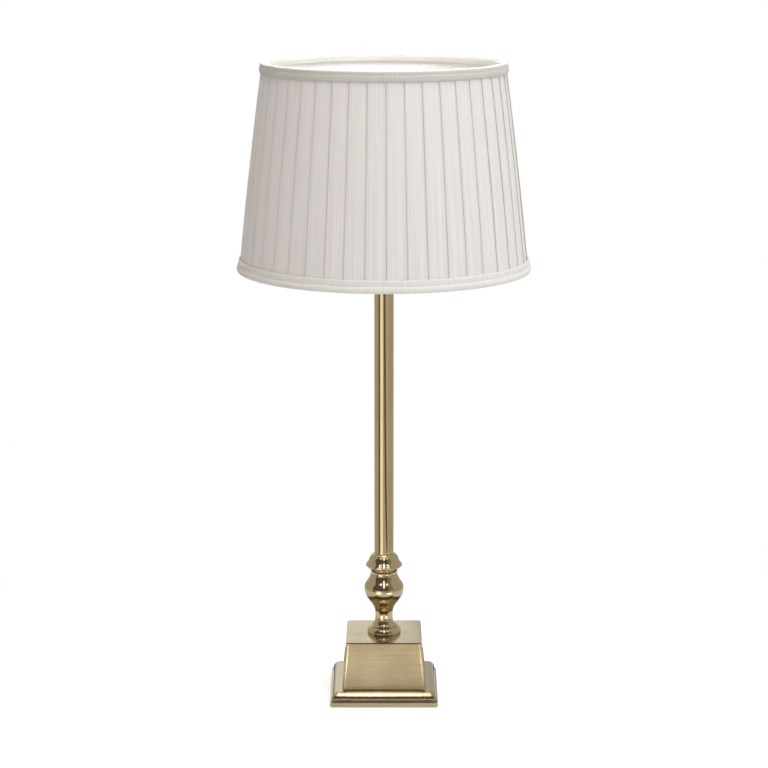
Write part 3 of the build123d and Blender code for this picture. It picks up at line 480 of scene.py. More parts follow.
def brass_finish(name, rub, line_depth, film, lines, extra_roughness=0.0, tint=1.0):
    """Polished, lacquered brass with a thin cloudy film, rubbed lines and small dull spots."""
    brass = bpy.context.scene.lamp_brass
    finish, tree, put = new_finish(name, Metallic=1.0, Coat_Weight=0.4, Coat_Roughness=0.05, Coat_IOR=1.45)
    wear = placed(tree, "handling marks", wear_group, {"Vector": object_vector(tree), "Rub": rub})
    dulled = times(tree, wear["Film"], film)
    marked = times(tree, wear["Lines"], lines)
    amount = plus(tree, dulled, times(tree, marked, 0.5), clamp=True)
    tone = blend_colour(tree, amount, rgba(brass.polish, tint), rgba(brass.tarnish, tint))
    rough = plus(tree, times(tree, wear["Film"], 0.05), brass.roughness + extra_roughness)
    rough = plus(tree, rough, times(tree, marked, 0.12))
    rough = plus(tree, rough, times(tree, wear["Spots"], 0.03), clamp=True)
    feed(tree, put, tone, rough, bump(tree, wear["Lines"], line_depth, 0.6))
    return finish


def grained(tree, scale):
    """The fine grain placed in a material, at a scale in turns to the metre."""
    return placed(tree, "fine grain", grain_group, {"Vector": object_vector(tree), "Scale": scale})


def metal_finish(name, base, roughness, dull, grain_scale=1400.0):
    """Plated or bare metal with dull patches and fine grain."""
    finish, tree, put = new_finish(name, Metallic=1.0)
    grain = grained(tree, grain_scale)
    tone = blend_colour(tree, times(tree, grain["Patches"], 0.6), rgba(base), rgba(dull))
    rough = remap(tree, grain["Grain"], 0.0, 1.0, roughness, roughness + 0.14)
    feed(tree, put, tone, rough, bump(tree, grain["Grain"], 0.02 * MM))
    return finish


def plain_finish(name, base, roughness, grain_scale, grain_depth, shift, **values):
    """Moulded, glazed, painted or cast stuff with fine grain and a little patchiness."""
    finish, tree, put = new_finish(name, **values)
    grain = grained(tree, grain_scale)
    mix = times(tree, plus(tree, grain["Patches"], grain["Grain"]), 0.5)
    tone = blend_colour(tree, mix, rgba(base, 1.0 - shift), rgba(base, 1.0 + shift))
    rough = remap(tree, grain["Grain"], 0.0, 1.0, roughness, roughness + 0.12)
    feed(tree, put, tone, rough, bump(tree, grain["Grain"], grain_depth))
    return finish


def opal_finish(name):
    """Milk glass: white, glossy, a little light let through, faintly uneven."""
    finish, tree, put = new_finish(
        name, Subsurface_Weight=0.35, Subsurface_Radius=(1, 1, 1), Subsurface_Scale=3 * MM, Coat_Weight=0.6
    )
    grain = grained(tree, 220.0)
    tone = blend_colour(tree, grain["Patches"], (0.86, 0.86, 0.85, 1), (0.91, 0.91, 0.90, 1))
    rough = remap(tree, grain["Grain"], 0.0, 1.0, 0.10, 0.18)
    feed(tree, put, tone, rough, bump(tree, grain["Grain"], 0.01 * MM))
    return finish


def clear_glass_finish(name):
    """Clear glass with faint drawn streaks."""
    finish, tree, put = new_finish(name, Metallic=0.0, Transmission_Weight=1.0, IOR=1.5)
    grain = grained(tree, 500.0)
    tone = blend_colour(tree, grain["Patches"], (0.95, 0.97, 0.96, 1), (0.99, 1.0, 1.0, 1))
    feed(tree, put, tone, remap(tree, grain["Grain"], 0.0, 1.0, 0.0, 0.05))
    return finish


def felt_finish(name):
    """Pressed wool felt: matted fibres with a soft sheen."""
    finish, tree, put = new_finish(name, Specular_IOR_Level=0.1, Sheen_Weight=0.4, Sheen_Roughness=0.6)
    at = object_vector(tree)
    fibres = noise_at(tree, stretched(tree, at, (2600, 900, 1800)), 1.0, 5, 0.7)
    tufts = noise_at(tree, at, 260, 4, 0.6)
    matted = times(tree, plus(tree, fibres, tufts), 0.5)
    tone = blend_colour(tree, remap(tree, matted, 0.35, 0.65), (0.012, 0.040, 0.022, 1), (0.030, 0.085, 0.048, 1))
    rough = remap(tree, tufts, 0.3, 0.7, 0.88, 1.0)
    feed(tree, put, tone, rough, bump(tree, matted, 0.35 * MM))
    return finish


def cad_finishes():
    """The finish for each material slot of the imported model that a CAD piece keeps."""
    moulding = bpy.context.scene.lamp_holder.moulding
    return {
        "zinc_steel": metal_finish("zinc plated steel", (0.60, 0.61, 0.60), 0.28, (0.42, 0.43, 0.44)),
        "iron": plain_finish("cast iron ballast", (0.060, 0.058, 0.055), 0.62, 900.0, 0.15 * MM, 0.35),
        "cast_brass": brass_finish("polished cast brass", (14, 14, 260), 0.0015 * MM, 0.25, 0.15),
        "block_brass": brass_finish("polished sheet brass", (16, 16, 620), 0.006 * MM, 0.30, 0.40, 0.06, 1.08),
        "turned_brass": brass_finish("turned brass", (30, 30, 1100), 0.002 * MM, 0.25, 0.20),
        "tube_brass": brass_finish("drawn brass tube", (900, 900, 5), 0.0015 * MM, 0.25, 0.25),
        "holder_brass": brass_finish("pressed brass", (60, 60, 900), 0.004 * MM, 0.45, 0.35, 0.05),
        "contact_brass": metal_finish("bright contact brass", (0.72, 0.55, 0.26), 0.25, (0.50, 0.36, 0.16)),
        "ceramic": plain_finish("glazed ceramic", (0.80, 0.78, 0.72), 0.18, 300.0, 0.03 * MM, 0.04, Coat_Weight=0.5),
        "black_plastic": plain_finish("black moulded plastic", (0.018, 0.018, 0.019), 0.36, 1500.0, 0.02 * MM, 0.2),
        "dark_bakelite": plain_finish("dark moulded resin", moulding, 0.22, 700.0, 0.01 * MM, 0.25, Coat_Weight=0.3),
        "white_wire": plain_finish("white coated wire", (0.80, 0.80, 0.78), 0.34, 500.0, 0.008 * MM, 0.04),
        "opal_glass": opal_finish("opal glass"),
        "clear_glass": clear_glass_finish("clear glass stem"),
        "nickel_cap": metal_finish("nickel plated cap", (0.66, 0.63, 0.58), 0.20, (0.50, 0.47, 0.42)),
        "black_vitrite": plain_finish(
            "black cap glass", (0.010, 0.010, 0.012), 0.12, 500.0, 0.02 * MM, 0.2, Coat_Weight=0.6
        ),
        "solder": metal_finish("dull solder", (0.52, 0.52, 0.52), 0.42, (0.36, 0.36, 0.37), 600.0),
        "phosphor": plain_finish("yellow phosphor", (0.80, 0.56, 0.10), 0.55, 1200.0, 0.03 * MM, 0.08),
    }


# ---------------------------------------------------------------- shade pieces
def pleat_section(pitch, cloth, step, bulge):
    """One knife pleat seen from above: (arc from the last fold, depth inside the fold line, painted crease shade)
    points.

    The panel rises to its fold, turns back under itself, turns again and leaves under the next panel.
    """
    panel, turn, under = (0, 0.03, 0.07, 0.13, 0.25, 0.4, 0.55, 0.7, 0.82, 0.89, 0.94, 0.975), 5, 3
    tuck = (cloth - pitch) / 2
    loop = step / 4
    rolled = 0.22 * MM
    points = []
    for part in panel:
        to_fold = pitch * (1 - part)
        roll = rolled * math.exp(-to_fold / (1.3 * MM))
        depth = step * (1 - part) - bulge * math.sin(math.pi * part) + roll
        # painted shade of the crease: full in the tuck, strongest where a panel comes out from under a fold, some by
        # its own fold
        painted_crease_shade = max(math.exp(-pitch * part / (1.0 * MM)), 0.55 * math.exp(-to_fold / (1.2 * MM)))
        points.append((pitch * part, depth, painted_crease_shade))
    for i in range(turn):
        share = i / (turn - 1)
        angle = math.pi * share
        depth = loop * (1 - math.cos(angle)) + rolled * (1 - share)
        points.append((pitch + loop * math.sin(angle), depth, 0.55 + 0.45 * share))
    for i in range(1, under + 1):
        part = i / under
        above = step * tuck * part / pitch
        points.append((pitch - tuck * part, (above + step) / 2, 1.0))
    middle = (step * tuck / pitch + 3 * step) / 4
    half = (step - step * tuck / pitch) / 4
    for i in range(1, turn):
        angle = math.pi * i / turn
        points.append((pitch - tuck - loop * math.sin(angle), middle - half * math.cos(angle), 1.0))
    for i in range(under):
        points.append((pitch - tuck + tuck * i / under, step, 1.0))
    return points


def make_cover():
    """The pleated linen cover: knife pleats of one long strip, each a little uneven, as pressed by hand."""
    cloth = shade()
    draw = random.Random(44)
    pitch_turn = math.tau / cloth.pleats
    ranges_mm = ((-0.5, 0.5), (-0.5, 0.5), (-0.10, 0.14), (0.05, 0.40))
    shifts, leans, lifts, bulges = (
        [draw.uniform(low, high) * MM for _ in range(cloth.pleats)] for low, high in ranges_mm
    )
    wander, ripples, rows = 0.25 * MM, 0.10 * MM, 30
    points, values, flats = [], [], []
    for row in range(rows + 1):
        rise = row / rows
        z = cover_z(rise)
        radius = fold_r(z) + cloth.bow * math.sin(math.pi * rise) ** 0.8
        pitch = math.tau * radius / cloth.pleats
        held = min(1.0, 6 * rise, 6 * (1 - rise))
        for pleat in range(cloth.pleats):
            section = pleat_section(pitch, cloth.pleat_cloth, cloth.step, bulges[pleat] * held)
            run = 0.0
            last = section[0]
            for arc, depth, painted_crease_shade in section:
                run += math.hypot(arc - last[0], depth - last[1])
                last = (arc, depth)
                near = arc / pitch
                following = (pleat + 1) % cloth.pleats
                drift = [
                    held * (shifts[i] + leans[i] * (rise - 0.5))
                    + wander * held * noise.noise(Vector((i * 3.7, z * 14, 0)))
                    for i in (pleat, following)
                ]
                moved = arc + drift[0] * (1 - near) + drift[1] * near
                lift = held * lifts[pleat] * near
                turn = cloth.start - (pleat + moved / pitch) * pitch_turn
                ripple = ripples * held * noise.noise(Vector((pleat * 5.1 + 2 * near, z * 25, 7)))
                points.append(polar(radius - depth + lift + ripple, turn, z))
                values.append(min(1.0, painted_crease_shade))
                flats.append((pleat * cloth.pleat_cloth + run, z))
    ring = len(points) // (rows + 1)
    faces, uvs = [], []
    for row in range(rows):
        for column in range(ring):
            a, b = row * ring + column, row * ring + (column + 1) % ring
            quad = (b, a, a + ring, b + ring)
            faces.append(quad)
            seam = cloth.pleats * cloth.pleat_cloth if column == ring - 1 else 0
            for corner in quad:
                u, v = flats[corner]
                uvs.append((u + seam if corner in (b, b + ring) else u, v))
    piece = cloth_mesh("pleated_cover", points, faces, uvs, values)
    # the pleated linen gets painted shade between its threads and in its creases
    finish = linen_finish("pleated linen", cloth.linen, cloth.painted_crease_shade, 1500.0, 0.05 * MM, True)
    finish_cloth(piece, cloth.cloth, 60, finish, "pleated_linen", "shade_cover")


def swept_cloth(name, section, open_quad):
    """A cloth ring from a function that gives its (radius, height, flat height) section at each angle.

    Quads for which open_quad(degrees, place in the section) is true are left out.
    """
    columns = 360
    girth = math.tau * shade().fold_low
    points, flats = [], []
    for column in range(columns):
        turn = math.tau * (column + 0.5) / columns
        for radius, z, flat in section(turn):
            points.append(polar(radius, turn, z))
            flats.append((turn * shade().fold_low, flat))
    count = len(points) // columns
    faces, uvs = [], []
    for column in range(columns):
        for i in range(count - 1):
            following = (column + 1) % columns
            quad = (column * count + i, following * count + i, following * count + i + 1, column * count + i + 1)
            if open_quad and open_quad(math.degrees(math.tau * (column + 1) / columns), i):
                continue
            faces.append(quad)
            seam = girth if following == 0 else 0
            for corner in quad:
                u, v = flats[corner]
                uvs.append((u + seam if corner in quad[1:3] else u, v))
    return cloth_mesh(name, points, faces, uvs)


def at_arm(degrees):
    """Whether an angle from the front, counted towards the right, is where an arm passes the cloth."""
    return any(abs((degrees - 90 - turn + 180) % 360 - 180) < 0.9 for turn in ARM_TURNS)


def make_lining():
    """The lining: one cloth stretched inside the frame, slit where the arms reach the lower ring."""
    cloth = shade()
    rows = 24

    def section(turn):
        found = []
        for row in range(rows + 1):
            rise = row / rows
            z = cover_z(rise)
            pull = math.sin(math.pi * rise)
            gather = 0.16 * MM * math.sin(36 * turn) * (1 - 0.5 * pull)
            crumple = 0.35 * MM * noise.noise(Vector((math.sin(turn) * 6, math.cos(turn) * 6, z * 12)))
            radius = fold_r(z) - cloth.lining_depth + 0.15 * MM * pull + gather + crumple * pull
            found.append((radius, z, z))
        return found

    def slit(degrees, row):
        return row == 0 and at_arm(degrees)

    piece = swept_cloth("shade_inner_lining", section, slit)
    # the second colour is the painted shade between the lining's threads
    finish = linen_finish("white lining", cloth.lining, (0.62, 0.60, 0.55), 2200.0, 0.02 * MM, False)
    finish_cloth(piece, 0.3 * MM, 60, finish, "lining_cloth", "shade_lining")


def make_bindings():
    """The two bindings: a folded strip over each edge of the shade, its outer fold line a little wavy."""
    cloth = shade()
    inner = cloth.lining_depth / MM + 0.7
    back, foot, rim = (size / MM for size in (cloth.binding_return, cloth.binding_height, cloth.rim_height))

    def waves(turn, seed):
        """Soft waviness around the shade, about -1 to 1."""
        return noise.noise(Vector((math.sin(turn) * 5 + seed, math.cos(turn) * 5, seed)))

    def overlap(turn):
        """How far the strip stands out over its lap at the back."""
        gap = abs(turn - math.pi) * cloth.fold_low / MM
        return 0.45 * max(0.0, min(1.0, 7.5 - gap))

    def inside(lip):
        """The return inside the shade, which both bindings share."""
        return [(lip - inner, back), (lip - inner - 0.1, 4.0), (lip - inner, 1.0), (lip - inner + 0.8, 0.30)]

    def low_section(turn):
        """Points (out from the fold line, up from the shade's foot) in millimetres."""
        line = 6.4 + 0.7 * waves(turn, 1.3)
        plump = 0.15 * waves(turn, 8.1) + overlap(turn)
        outside = [(2.1, 0.9), (2.6, 2.0), (2.75, 3.4), (2.55, line - 1.4), (2.05, line - 0.5)]
        outside += [(1.45, line - 0.1), (1.30, line + 0.3), (1.50, line + 1.2), (1.45, 9.6)]
        outside += [(1.40, foot - 1.2), (1.25, foot - 0.35), (0.80, foot + 0.2 * waves(turn, 5.0))]
        outline = inside(0.0) + [(-2.0, 0.30), (1.3, 0.35)]
        outline += [(out + plump, up) for out, up in outside] + [(0.45, foot - 0.5)]
        return flattened([(fold_r(SHADE_LOW + up * MM) + out * MM, SHADE_LOW + up * MM) for out, up in outline])

    def high_section(turn):
        """Points (out from the fold line under the rim, down from the shade's top) in millimetres."""
        line = 5.0 + 0.8 * waves(turn, 3.9)
        plump = 0.12 * waves(turn, 2.2) + overlap(turn)
        under_rim = fold_r(SHADE_HIGH - cloth.rim_height) + 0.5 * MM
        lip = (fold_r(SHADE_HIGH) - under_rim) / MM
        outside = [(0.02, 0.9), (0.10, 2.5), (0.12, line - 1.0), (0.20, line - 0.2), (0.62, line + 0.2)]
        outside += [(0.78, line + 0.9), (0.72, rim - 2.0), (0.60, rim - 1.0), (0.35, rim - 0.3)]
        outside += [(-0.05, rim + 0.2 * waves(turn, 6.0))]
        outline = inside(lip) + [(lip - 1.5, 0.25), (-0.5, 0.35)]
        outline += [(out + plump, down) for out, down in outside]
        return flattened([(under_rim + out * MM, SHADE_HIGH - down * MM) for out, down in outline])

    def flattened(section):
        """The section with its run along the cloth as the flat height."""
        run, last, found = 0.0, section[0], []
        for radius, z in section:
            run += math.hypot(radius - last[0], z - last[1])
            last = (radius, z)
            found.append((radius, z, run))
        return found

    def slit(degrees, place):
        return place in (0, 1) and at_arm(degrees)

    # the upper binding's colour, cloth.rim, is darker than the lower one's as painted shade
    rows = (
        ("lower_binding", low_section, slit, "bottom_trim", cloth.fold_low, "shade_bottom_ring", cloth.binding),
        ("upper_binding", high_section, None, "top_trim", cloth.fold_high, "shade_top_ring", cloth.rim),
    )
    for name, section, gaps, replaced, radius, ring, tone in rows:
        piece = swept_cloth(name, section, gaps)
        # the second colour is the painted shade between the binding's threads
        finish = linen_finish(name.replace("_", " ") + " linen", tone, (0.60, 0.57, 0.49), 1500.0, 0.05 * MM, False)
        finish_cloth(piece, cloth.binding_cloth, 70, finish, "linen_binding", replaced)


# ---------------------------------------------------------------- rigid pieces
def make_felt():
    """The felt sole, glued under the cover plate, with soft cut edges."""
    low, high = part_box("felt_pad")
    size = high - low
    deselect_all()
    bpy.ops.mesh.primitive_cube_add(size=1, location=(low + high) / 2)
    piece = bpy.context.active_object
    edit(piece)
    bpy.ops.transform.resize(value=size)
    pick(piece, "EDGE", lambda e: abs(e.verts[0].co.z - e.verts[1].co.z) > 0.5 * size.z)
    bpy.ops.mesh.bevel(offset=3.5 * MM, segments=8, affect="EDGES")
    pick(piece, "FACE", lambda f: f.normal.z < -0.9)
    bpy.ops.mesh.inset(thickness=0.5 * MM)
    bpy.ops.mesh.inset(thickness=0.9 * MM)
    bpy.ops.mesh.select_all(action="SELECT")
    bpy.ops.mesh.bevel(offset=0.25 * MM, segments=2, affect="EDGES", clamp_overlap=True)
    close_edit(piece, "felt_sole")
    smooth(piece, 40)
    finish_piece(piece, felt_finish("green felt"), "felt", "root", "felt_pad")


def make_skirt():
    """The lampholder's skirt with its shoulder, and the outer thread that the shade ring nut runs on."""
    holder = bpy.context.scene.lamp_holder
    low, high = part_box("holder_skirt")
    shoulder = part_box("shade_carrier")[0].z
    outer, inner = 19.5 * MM, 17.75 * MM
    neck, flange, ease = 18.9, 22.5, 0.3
    root = outer - holder.thread_depth
    profile = [(inner, low.z)] + outline_mm(low.z, (neck, 0.0))
    profile += outline_mm(shoulder, (neck, -2.0), (flange - ease, -2.0), (flange, -2.0 + ease))
    profile += outline_mm(shoulder, (flange, -ease), (flange - ease, 0.0)) + [(root, shoulder)]
    z = shoulder + 1.2 * MM
    while z + holder.thread_pitch < high.z - 1.2 * MM:
        quarter = holder.thread_pitch / 4
        profile += [(root, z), (outer, z + quarter), (outer, z + 2 * quarter), (root, z + 3 * quarter)]
        z += holder.thread_pitch
    profile += [(root, high.z - 0.8 * MM), (root - 0.5 * MM, high.z - 0.1 * MM)]
    profile += [(inner + 0.3 * MM, high.z - 0.1 * MM), (inner, high.z - 0.5 * MM), (inner, low.z)]
    piece = turned("threaded_skirt", profile)
    smooth(piece, 30)
    finish_piece(piece, bpy.data.materials["pressed brass"], "holder_brass", "root", "holder_skirt")


def make_ring_nut():
    """The shade ring nut: a moulded ring with grip ribs and a rounded rim."""
    holder = bpy.context.scene.lamp_holder
    low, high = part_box("shade_ring_nut")
    outer, inner = 23.3, 19.6
    foot = ((inner, 0.4), (inner + 0.4, 0.0), (outer - 0.4, 0.0), (outer, 0.5))
    rim = ((outer, -1.2), (outer - 0.4, -0.4), (outer - 1.2, 0.0), (inner + 0.6, 0.0), (inner, -0.5))
    profile = outline_mm(low.z, *foot) + outline_mm(high.z, *rim)
    profile += profile[:1]
    piece = turned("shade_ring_grip", profile, steps=2 * holder.ribs)
    edit(piece)

    def on_rib(face):
        middle = face.calc_center_median()
        place = math.atan2(middle.y, middle.x) / math.tau * 2 * holder.ribs
        outside = math.hypot(middle.x, middle.y) > (outer - 0.1) * MM
        return outside and abs(face.normal.z) < 0.3 and round(place - 0.5) % 2 == 0

    pick(piece, "FACE", on_rib)
    bpy.ops.mesh.inset(thickness=0.25 * MM, use_individual=True)
    bpy.ops.mesh.extrude_faces_move(TRANSFORM_OT_shrink_fatten={"value": 0.55 * MM})
    bpy.ops.mesh.bevel(offset=0.12 * MM, segments=2, affect="EDGES")
    close_edit(piece, "shade_ring_grip")
    smooth(piece, 35)
    finish_piece(piece, bpy.data.materials["dark moulded resin"], "dark_bakelite", "root", "shade_ring_nut")


def make_buttons():
    """The push bar's two buttons: domed caps with a bead behind the dome."""
    low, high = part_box("switch_buttons")
    axis_z = (low.z + high.z) / 2
    radius = (high.z - low.z) / (2 * MM)
    depth = 6 * MM
    bead = ((radius - 0.6, 0.0), (radius - 0.1, 0.4), (radius - 0.1, 1.2), (radius - 0.5, 1.6))
    dome = ((radius - 0.5, -2.2), (radius - 0.7, -1.2), (radius - 1.5, -0.5), (radius - 2.8, -0.12), (0.0, 0.0))
    profile = outline_mm(0.0, (0.0, 0.0), *bead) + outline_mm(depth, *dome)
    made = []
    for side, inner_x in ((-1, low.x + depth), (1, high.x - depth)):
        piece = turned("button", profile, steps=48, axis=(side, 0, 0))
        edit(piece)
        bpy.ops.transform.translate(value=(inner_x, 0, axis_z))
        close_edit(piece, "push_button_left" if side < 0 else "push_button_right")
        smooth(piece, 40)
        made.append(piece)
    for piece in made:
        finish_piece(piece, bpy.data.materials["dark moulded resin"], "dark_bakelite", "switch", "switch_buttons")


# ---------------------------------------------------------------- stage
def only_for(piece, **seen):
    """Sets which rays see an object; the ones not named don't."""
    for ray in ("camera", "diffuse", "glossy", "transmission", "volume_scatter", "shadow"):
        setattr(piece, "visible_" + ray, seen.get(ray, False))


def glow(name, tone, strength):
    """A plain even glow, for studio cards and flags."""
    finish = bpy.data.materials.new(name)
    finish.use_nodes = True
    tree = finish.node_tree
    tree.nodes.clear()
    node(tree, "ShaderNodeOutputMaterial", {"Surface": light_node(tree, "Emission", tone, strength)})
    return finish


def card(name, points, faces, tone, strength):
    """A studio card or flag that is seen in the brass alone."""
    mesh = bpy.data.meshes.new("card_" + name)
    mesh.from_pydata(points, [], faces)
    mesh.materials.append(glow(mesh.name, tone, strength))
    piece = add_object(mesh.name, mesh)
    only_for(piece, glossy=True)


def sector(name, turns, radii, heights, tone, strength):
    """A card between two angles from the front, from one radius and height to another."""
    steps = 8
    points = []
    for radius, z in zip(radii, heights):
        for i in range(steps + 1):
            points.append(polar(radius, math.radians(turns[0] + (turns[1] - turns[0]) * i / steps), z))
    faces = [(i, i + 1, steps + 2 + i, steps + 1 + i) for i in range(steps)]
    card(name, points, faces, tone, strength)


def lamp(name, power, size, place, target):
    """A soft rectangular lamp aimed at a point, seen neither by the camera nor in the brass."""
    data = bpy.data.lights.new(name, "AREA")
    data.shape = "RECTANGLE"
    data.size, data.size_y = size
    data.energy = power
    light = add_object(name, data)
    light.location = place
    light.rotation_euler = (Vector(target) - Vector(place)).to_track_quat("-Z", "Y").to_euler()
    light.visible_glossy = False
    light.visible_camera = False


def make_floor(tone):
    """A pale floor that keeps the lamp's soft shadow and fades to white further out."""
    camera_lift = 0.41
    fade_from, fade_to = 0.12, 0.6
    deselect_all()
    bpy.ops.mesh.primitive_circle_add(vertices=96, radius=6, fill_type="TRIFAN", location=(0, 0, 0))
    floor = bpy.context.active_object
    floor.name = "studio_floor"
    finish, tree, put = new_finish("pale floor", Roughness=1.0, Specular_IOR_Level=0.0)
    at = object_vector(tree)
    far = node(tree, "ShaderNodeVectorMath", {0: at}, operation="LENGTH").outputs["Value"]
    speck = noise_at(tree, at, 30, 4)
    tree.links.new(blend_colour(tree, speck, rgba(tone, 0.99), rgba(tone, 1.01)), put["Base Color"])
    path = node(tree, "ShaderNodeLightPath").outputs
    lit = tree.nodes["Principled BSDF"].outputs[0]
    lift = times(tree, path["Is Camera Ray"], camera_lift)
    raised = light_node(tree, "Emission", (1, 1, 1), lift)
    near = node(tree, "ShaderNodeAddShader", {0: lit, 1: raised}).outputs[0]
    white = light_node(tree, "Emission", (1, 1, 1), 1.0)
    away = times(tree, remap(tree, far, fade_from, fade_to), path["Is Camera Ray"])
    mixed = node(tree, "ShaderNodeMixShader", {0: away, 1: near, 2: white}).outputs[0]
    tree.links.new(mixed, tree.nodes["Material Output"].inputs["Surface"])
    floor.data.materials.append(finish)


def make_world(studio):
    """White behind the lamp, a warm room in the brass, and room light that is missing on the left.

    Angles are given as the cosine to the dark side's direction, and heights as the sine of the elevation.
    """
    dark_edge, dark_top, warm_edge, bright_top = (0.38, 0.62), (0.7, 0.95), (-0.2, 0.5), (0.3, 0.9)
    world = bpy.data.worlds.new("studio")
    bpy.context.scene.world = world
    world.use_nodes = True
    tree = world.node_tree
    tree.nodes.clear()
    path = node(tree, "ShaderNodeLightPath").outputs
    towards = node(tree, "ShaderNodeTexCoord").outputs["Generated"]
    split = node(tree, "ShaderNodeSeparateXYZ", {0: towards}).outputs
    level = node(tree, "ShaderNodeCombineXYZ", {"X": split[0], "Y": split[1]}).outputs[0]
    level = node(tree, "ShaderNodeVectorMath", {0: level}, operation="NORMALIZE").outputs[0]
    left = (math.sin(studio.dark_side), -math.cos(studio.dark_side), 0)
    side = node(tree, "ShaderNodeVectorMath", {0: level, 1: left}, operation="DOT_PRODUCT").outputs["Value"]
    low = maths(tree, "SUBTRACT", 1.0, remap(tree, split[2], *dark_top))
    missing = times(tree, remap(tree, side, *dark_edge), low)
    dimmed = maths(tree, "SUBTRACT", 1.0, missing)
    above = remap(tree, split[2], *bright_top, 1.0, 1.35)
    diffuse = times(tree, times(tree, dimmed, above), studio.ambient)
    cast = blend_colour(tree, remap(tree, side, *warm_edge), (1, 1, 1, 1), (1, 0.80, 0.66, 1))
    room = node(tree, "ShaderNodeBackground", {"Color": cast, "Strength": diffuse}).outputs[0]
    warm = light_node(tree, "Background", WARM_ROOM, studio.room)
    white = light_node(tree, "Background", (1, 1, 1), 1.0)
    seen = node(tree, "ShaderNodeMixShader", {0: path["Is Glossy Ray"], 1: room, 2: warm}).outputs[0]
    plain = maths(tree, "MAXIMUM", path["Is Camera Ray"], path["Is Transmission Ray"])
    mixed = node(tree, "ShaderNodeMixShader", {0: plain, 1: seen, 2: white}).outputs[0]
    node(tree, "ShaderNodeOutputWorld", {"Surface": mixed})


def make_cards():
    """Cards and flags that only the brass sees: they give it the bands and bright panes of a real studio, and
    painted floor shadows.
    """
    white, cream, warm = (1, 1, 1), (1.0, 0.96, 0.86), WARM_ROOM
    on_floor = (1.0 * MM, 1.0 * MM)
    bands, panes, wall, behind, window = (0.46, 3.0), (0.27, 0.458), (1.7, 1.7), (2.2, 2.2), (0.95, 0.95)
    sectors = (
        ("far_left", (-150, -68), bands, on_floor, warm, 0.60),
        ("flag_left", (-68, -50), bands, on_floor, white, 0.10),
        ("pane_gap", (-50, -42), bands, on_floor, warm, 0.60),
        ("pane", (-42, -17), bands, on_floor, cream, 1.70),
        ("pane_edge", (-17, -6), bands, on_floor, warm, 0.80),
        ("middle", (-6, 24), bands, on_floor, warm, 0.66),
        ("right", (24, 55), bands, on_floor, warm, 0.68),
        ("far_right", (55, 150), bands, on_floor, warm, 0.58),
        ("behind", (150, 210), bands, on_floor, warm, 0.30),
        ("flag_front", (-72, 30), wall, (0.20, 2.2), white, 0.12),
        ("flag_high", (-72, 42), (1.7, 0.85), (2.2, 2.25), white, 0.16),
        ("wall_right", (30, 60), wall, (0.20, 2.2), warm, 0.30),
        ("pane_low_left", (-44, -17), panes, on_floor, cream, 3.4),
        ("pane_low_right", (17, 44), panes, on_floor, cream, 2.8),
        ("pane_top_left", (-46, -19), window, (1.25, 1.55), cream, 3.0),
        ("pane_top_right", (19, 46), window, (1.25, 1.55), cream, 2.5),
        ("backdrop", (178.2, 215), behind, (0.30, 2.0), white, 0.92),
        ("backdrop_right", (145, 178.2), behind, (0.30, 2.0), white, 0.50),
    )
    for row in sectors:
        sector(*row)
    flats = (
        ("overhead", (-0.085, 0.085), (-2.0, 0.45), 1.25, 3.4),
        ("ceiling", (-0.30, 0.30), (-0.32, 0.20), 1.30, 2.2),
        ("edge_flag", (-0.046, 0.046), (-0.047, -0.0375), 0.068, 0.05),
    )
    for name, across, along, z, strength in flats:
        corners = [(across[i], along[j], z) for i, j in ((0, 0), (1, 0), (1, 1), (0, 1))]
        card(name, corners, [(0, 1, 2, 3)], white, strength)
    # painted shadow: a dark stripe on the floor, seen in the brass alone
    painted_shadow_stripe = [(x, y, 1.4 * MM) for x, y in ((0.26, -0.44), (0.40, -0.40), (0.80, -2.75), (-0.20, -2.75))]
    card("painted_shadow_stripe", painted_shadow_stripe, [(0, 1, 2, 3)], white, 0.10)
    # painted shadow: a dark ring on the floor round the plinth, seen in the brass alone
    square = ((-1, -1), (1, -1), (1, 1), (-1, 1))
    ring = [(half * x, half * y, 0.6 * MM) for half in (0.0725, 0.1415) for x, y in square]
    card("ring", ring, [(i, (i + 1) % 4, (i + 1) % 4 + 4, i + 4) for i in range(4)], white, 0.10)


def make_camera(studio):
    """The camera at the photograph's viewing angle."""
    data = bpy.data.cameras.new("view")
    data.lens = studio.lens
    data.sensor_width = 36
    camera = add_object("view", data)
    camera.location = (0, -studio.distance, studio.height)
    camera.rotation_euler = (math.pi / 2 - studio.pitch, 0, 0)
    bpy.context.scene.camera = camera


# ---------------------------------------------------------------- operators
class LAMP_OT_cad_finishes(bpy.types.Operator):
    """Gives every piece that comes from the CAD model its finish"""

    bl_idname = "lamp.cad_finishes"
    bl_label = "Brass, Wire and Bulb Finishes"

    def execute(self, context):
        finishes = cad_finishes()
        for piece in NODES.values():
            for slot in piece.material_slots:
                if slot.material.name in finishes:
                    slot.material = finishes[slot.material.name]
        return {"FINISHED"}


class LAMP_OT_pleated_cover(bpy.types.Operator):
    """Folds the pleated linen cover of the shade"""

    bl_idname = "lamp.pleated_cover"
    bl_label = "Pleated Cover"

    def execute(self, context):
        make_cover()
        return {"FINISHED"}


class LAMP_OT_lining(bpy.types.Operator):
    """Stretches the lining inside the shade"""

    bl_idname = "lamp.lining"
    bl_label = "Lining"

    def execute(self, context):
        make_lining()
        return {"FINISHED"}


class LAMP_OT_bindings(bpy.types.Operator):
    """Folds a binding over each edge of the shade"""

    bl_idname = "lamp.bindings"
    bl_label = "Bindings"

    def execute(self, context):
        make_bindings()
        return {"FINISHED"}


class LAMP_OT_felt_sole(bpy.types.Operator):
    """Lays the felt sole under the base"""

    bl_idname = "lamp.felt_sole"
    bl_label = "Felt Sole"

    def execute(self, context):
        make_felt()
        return {"FINISHED"}


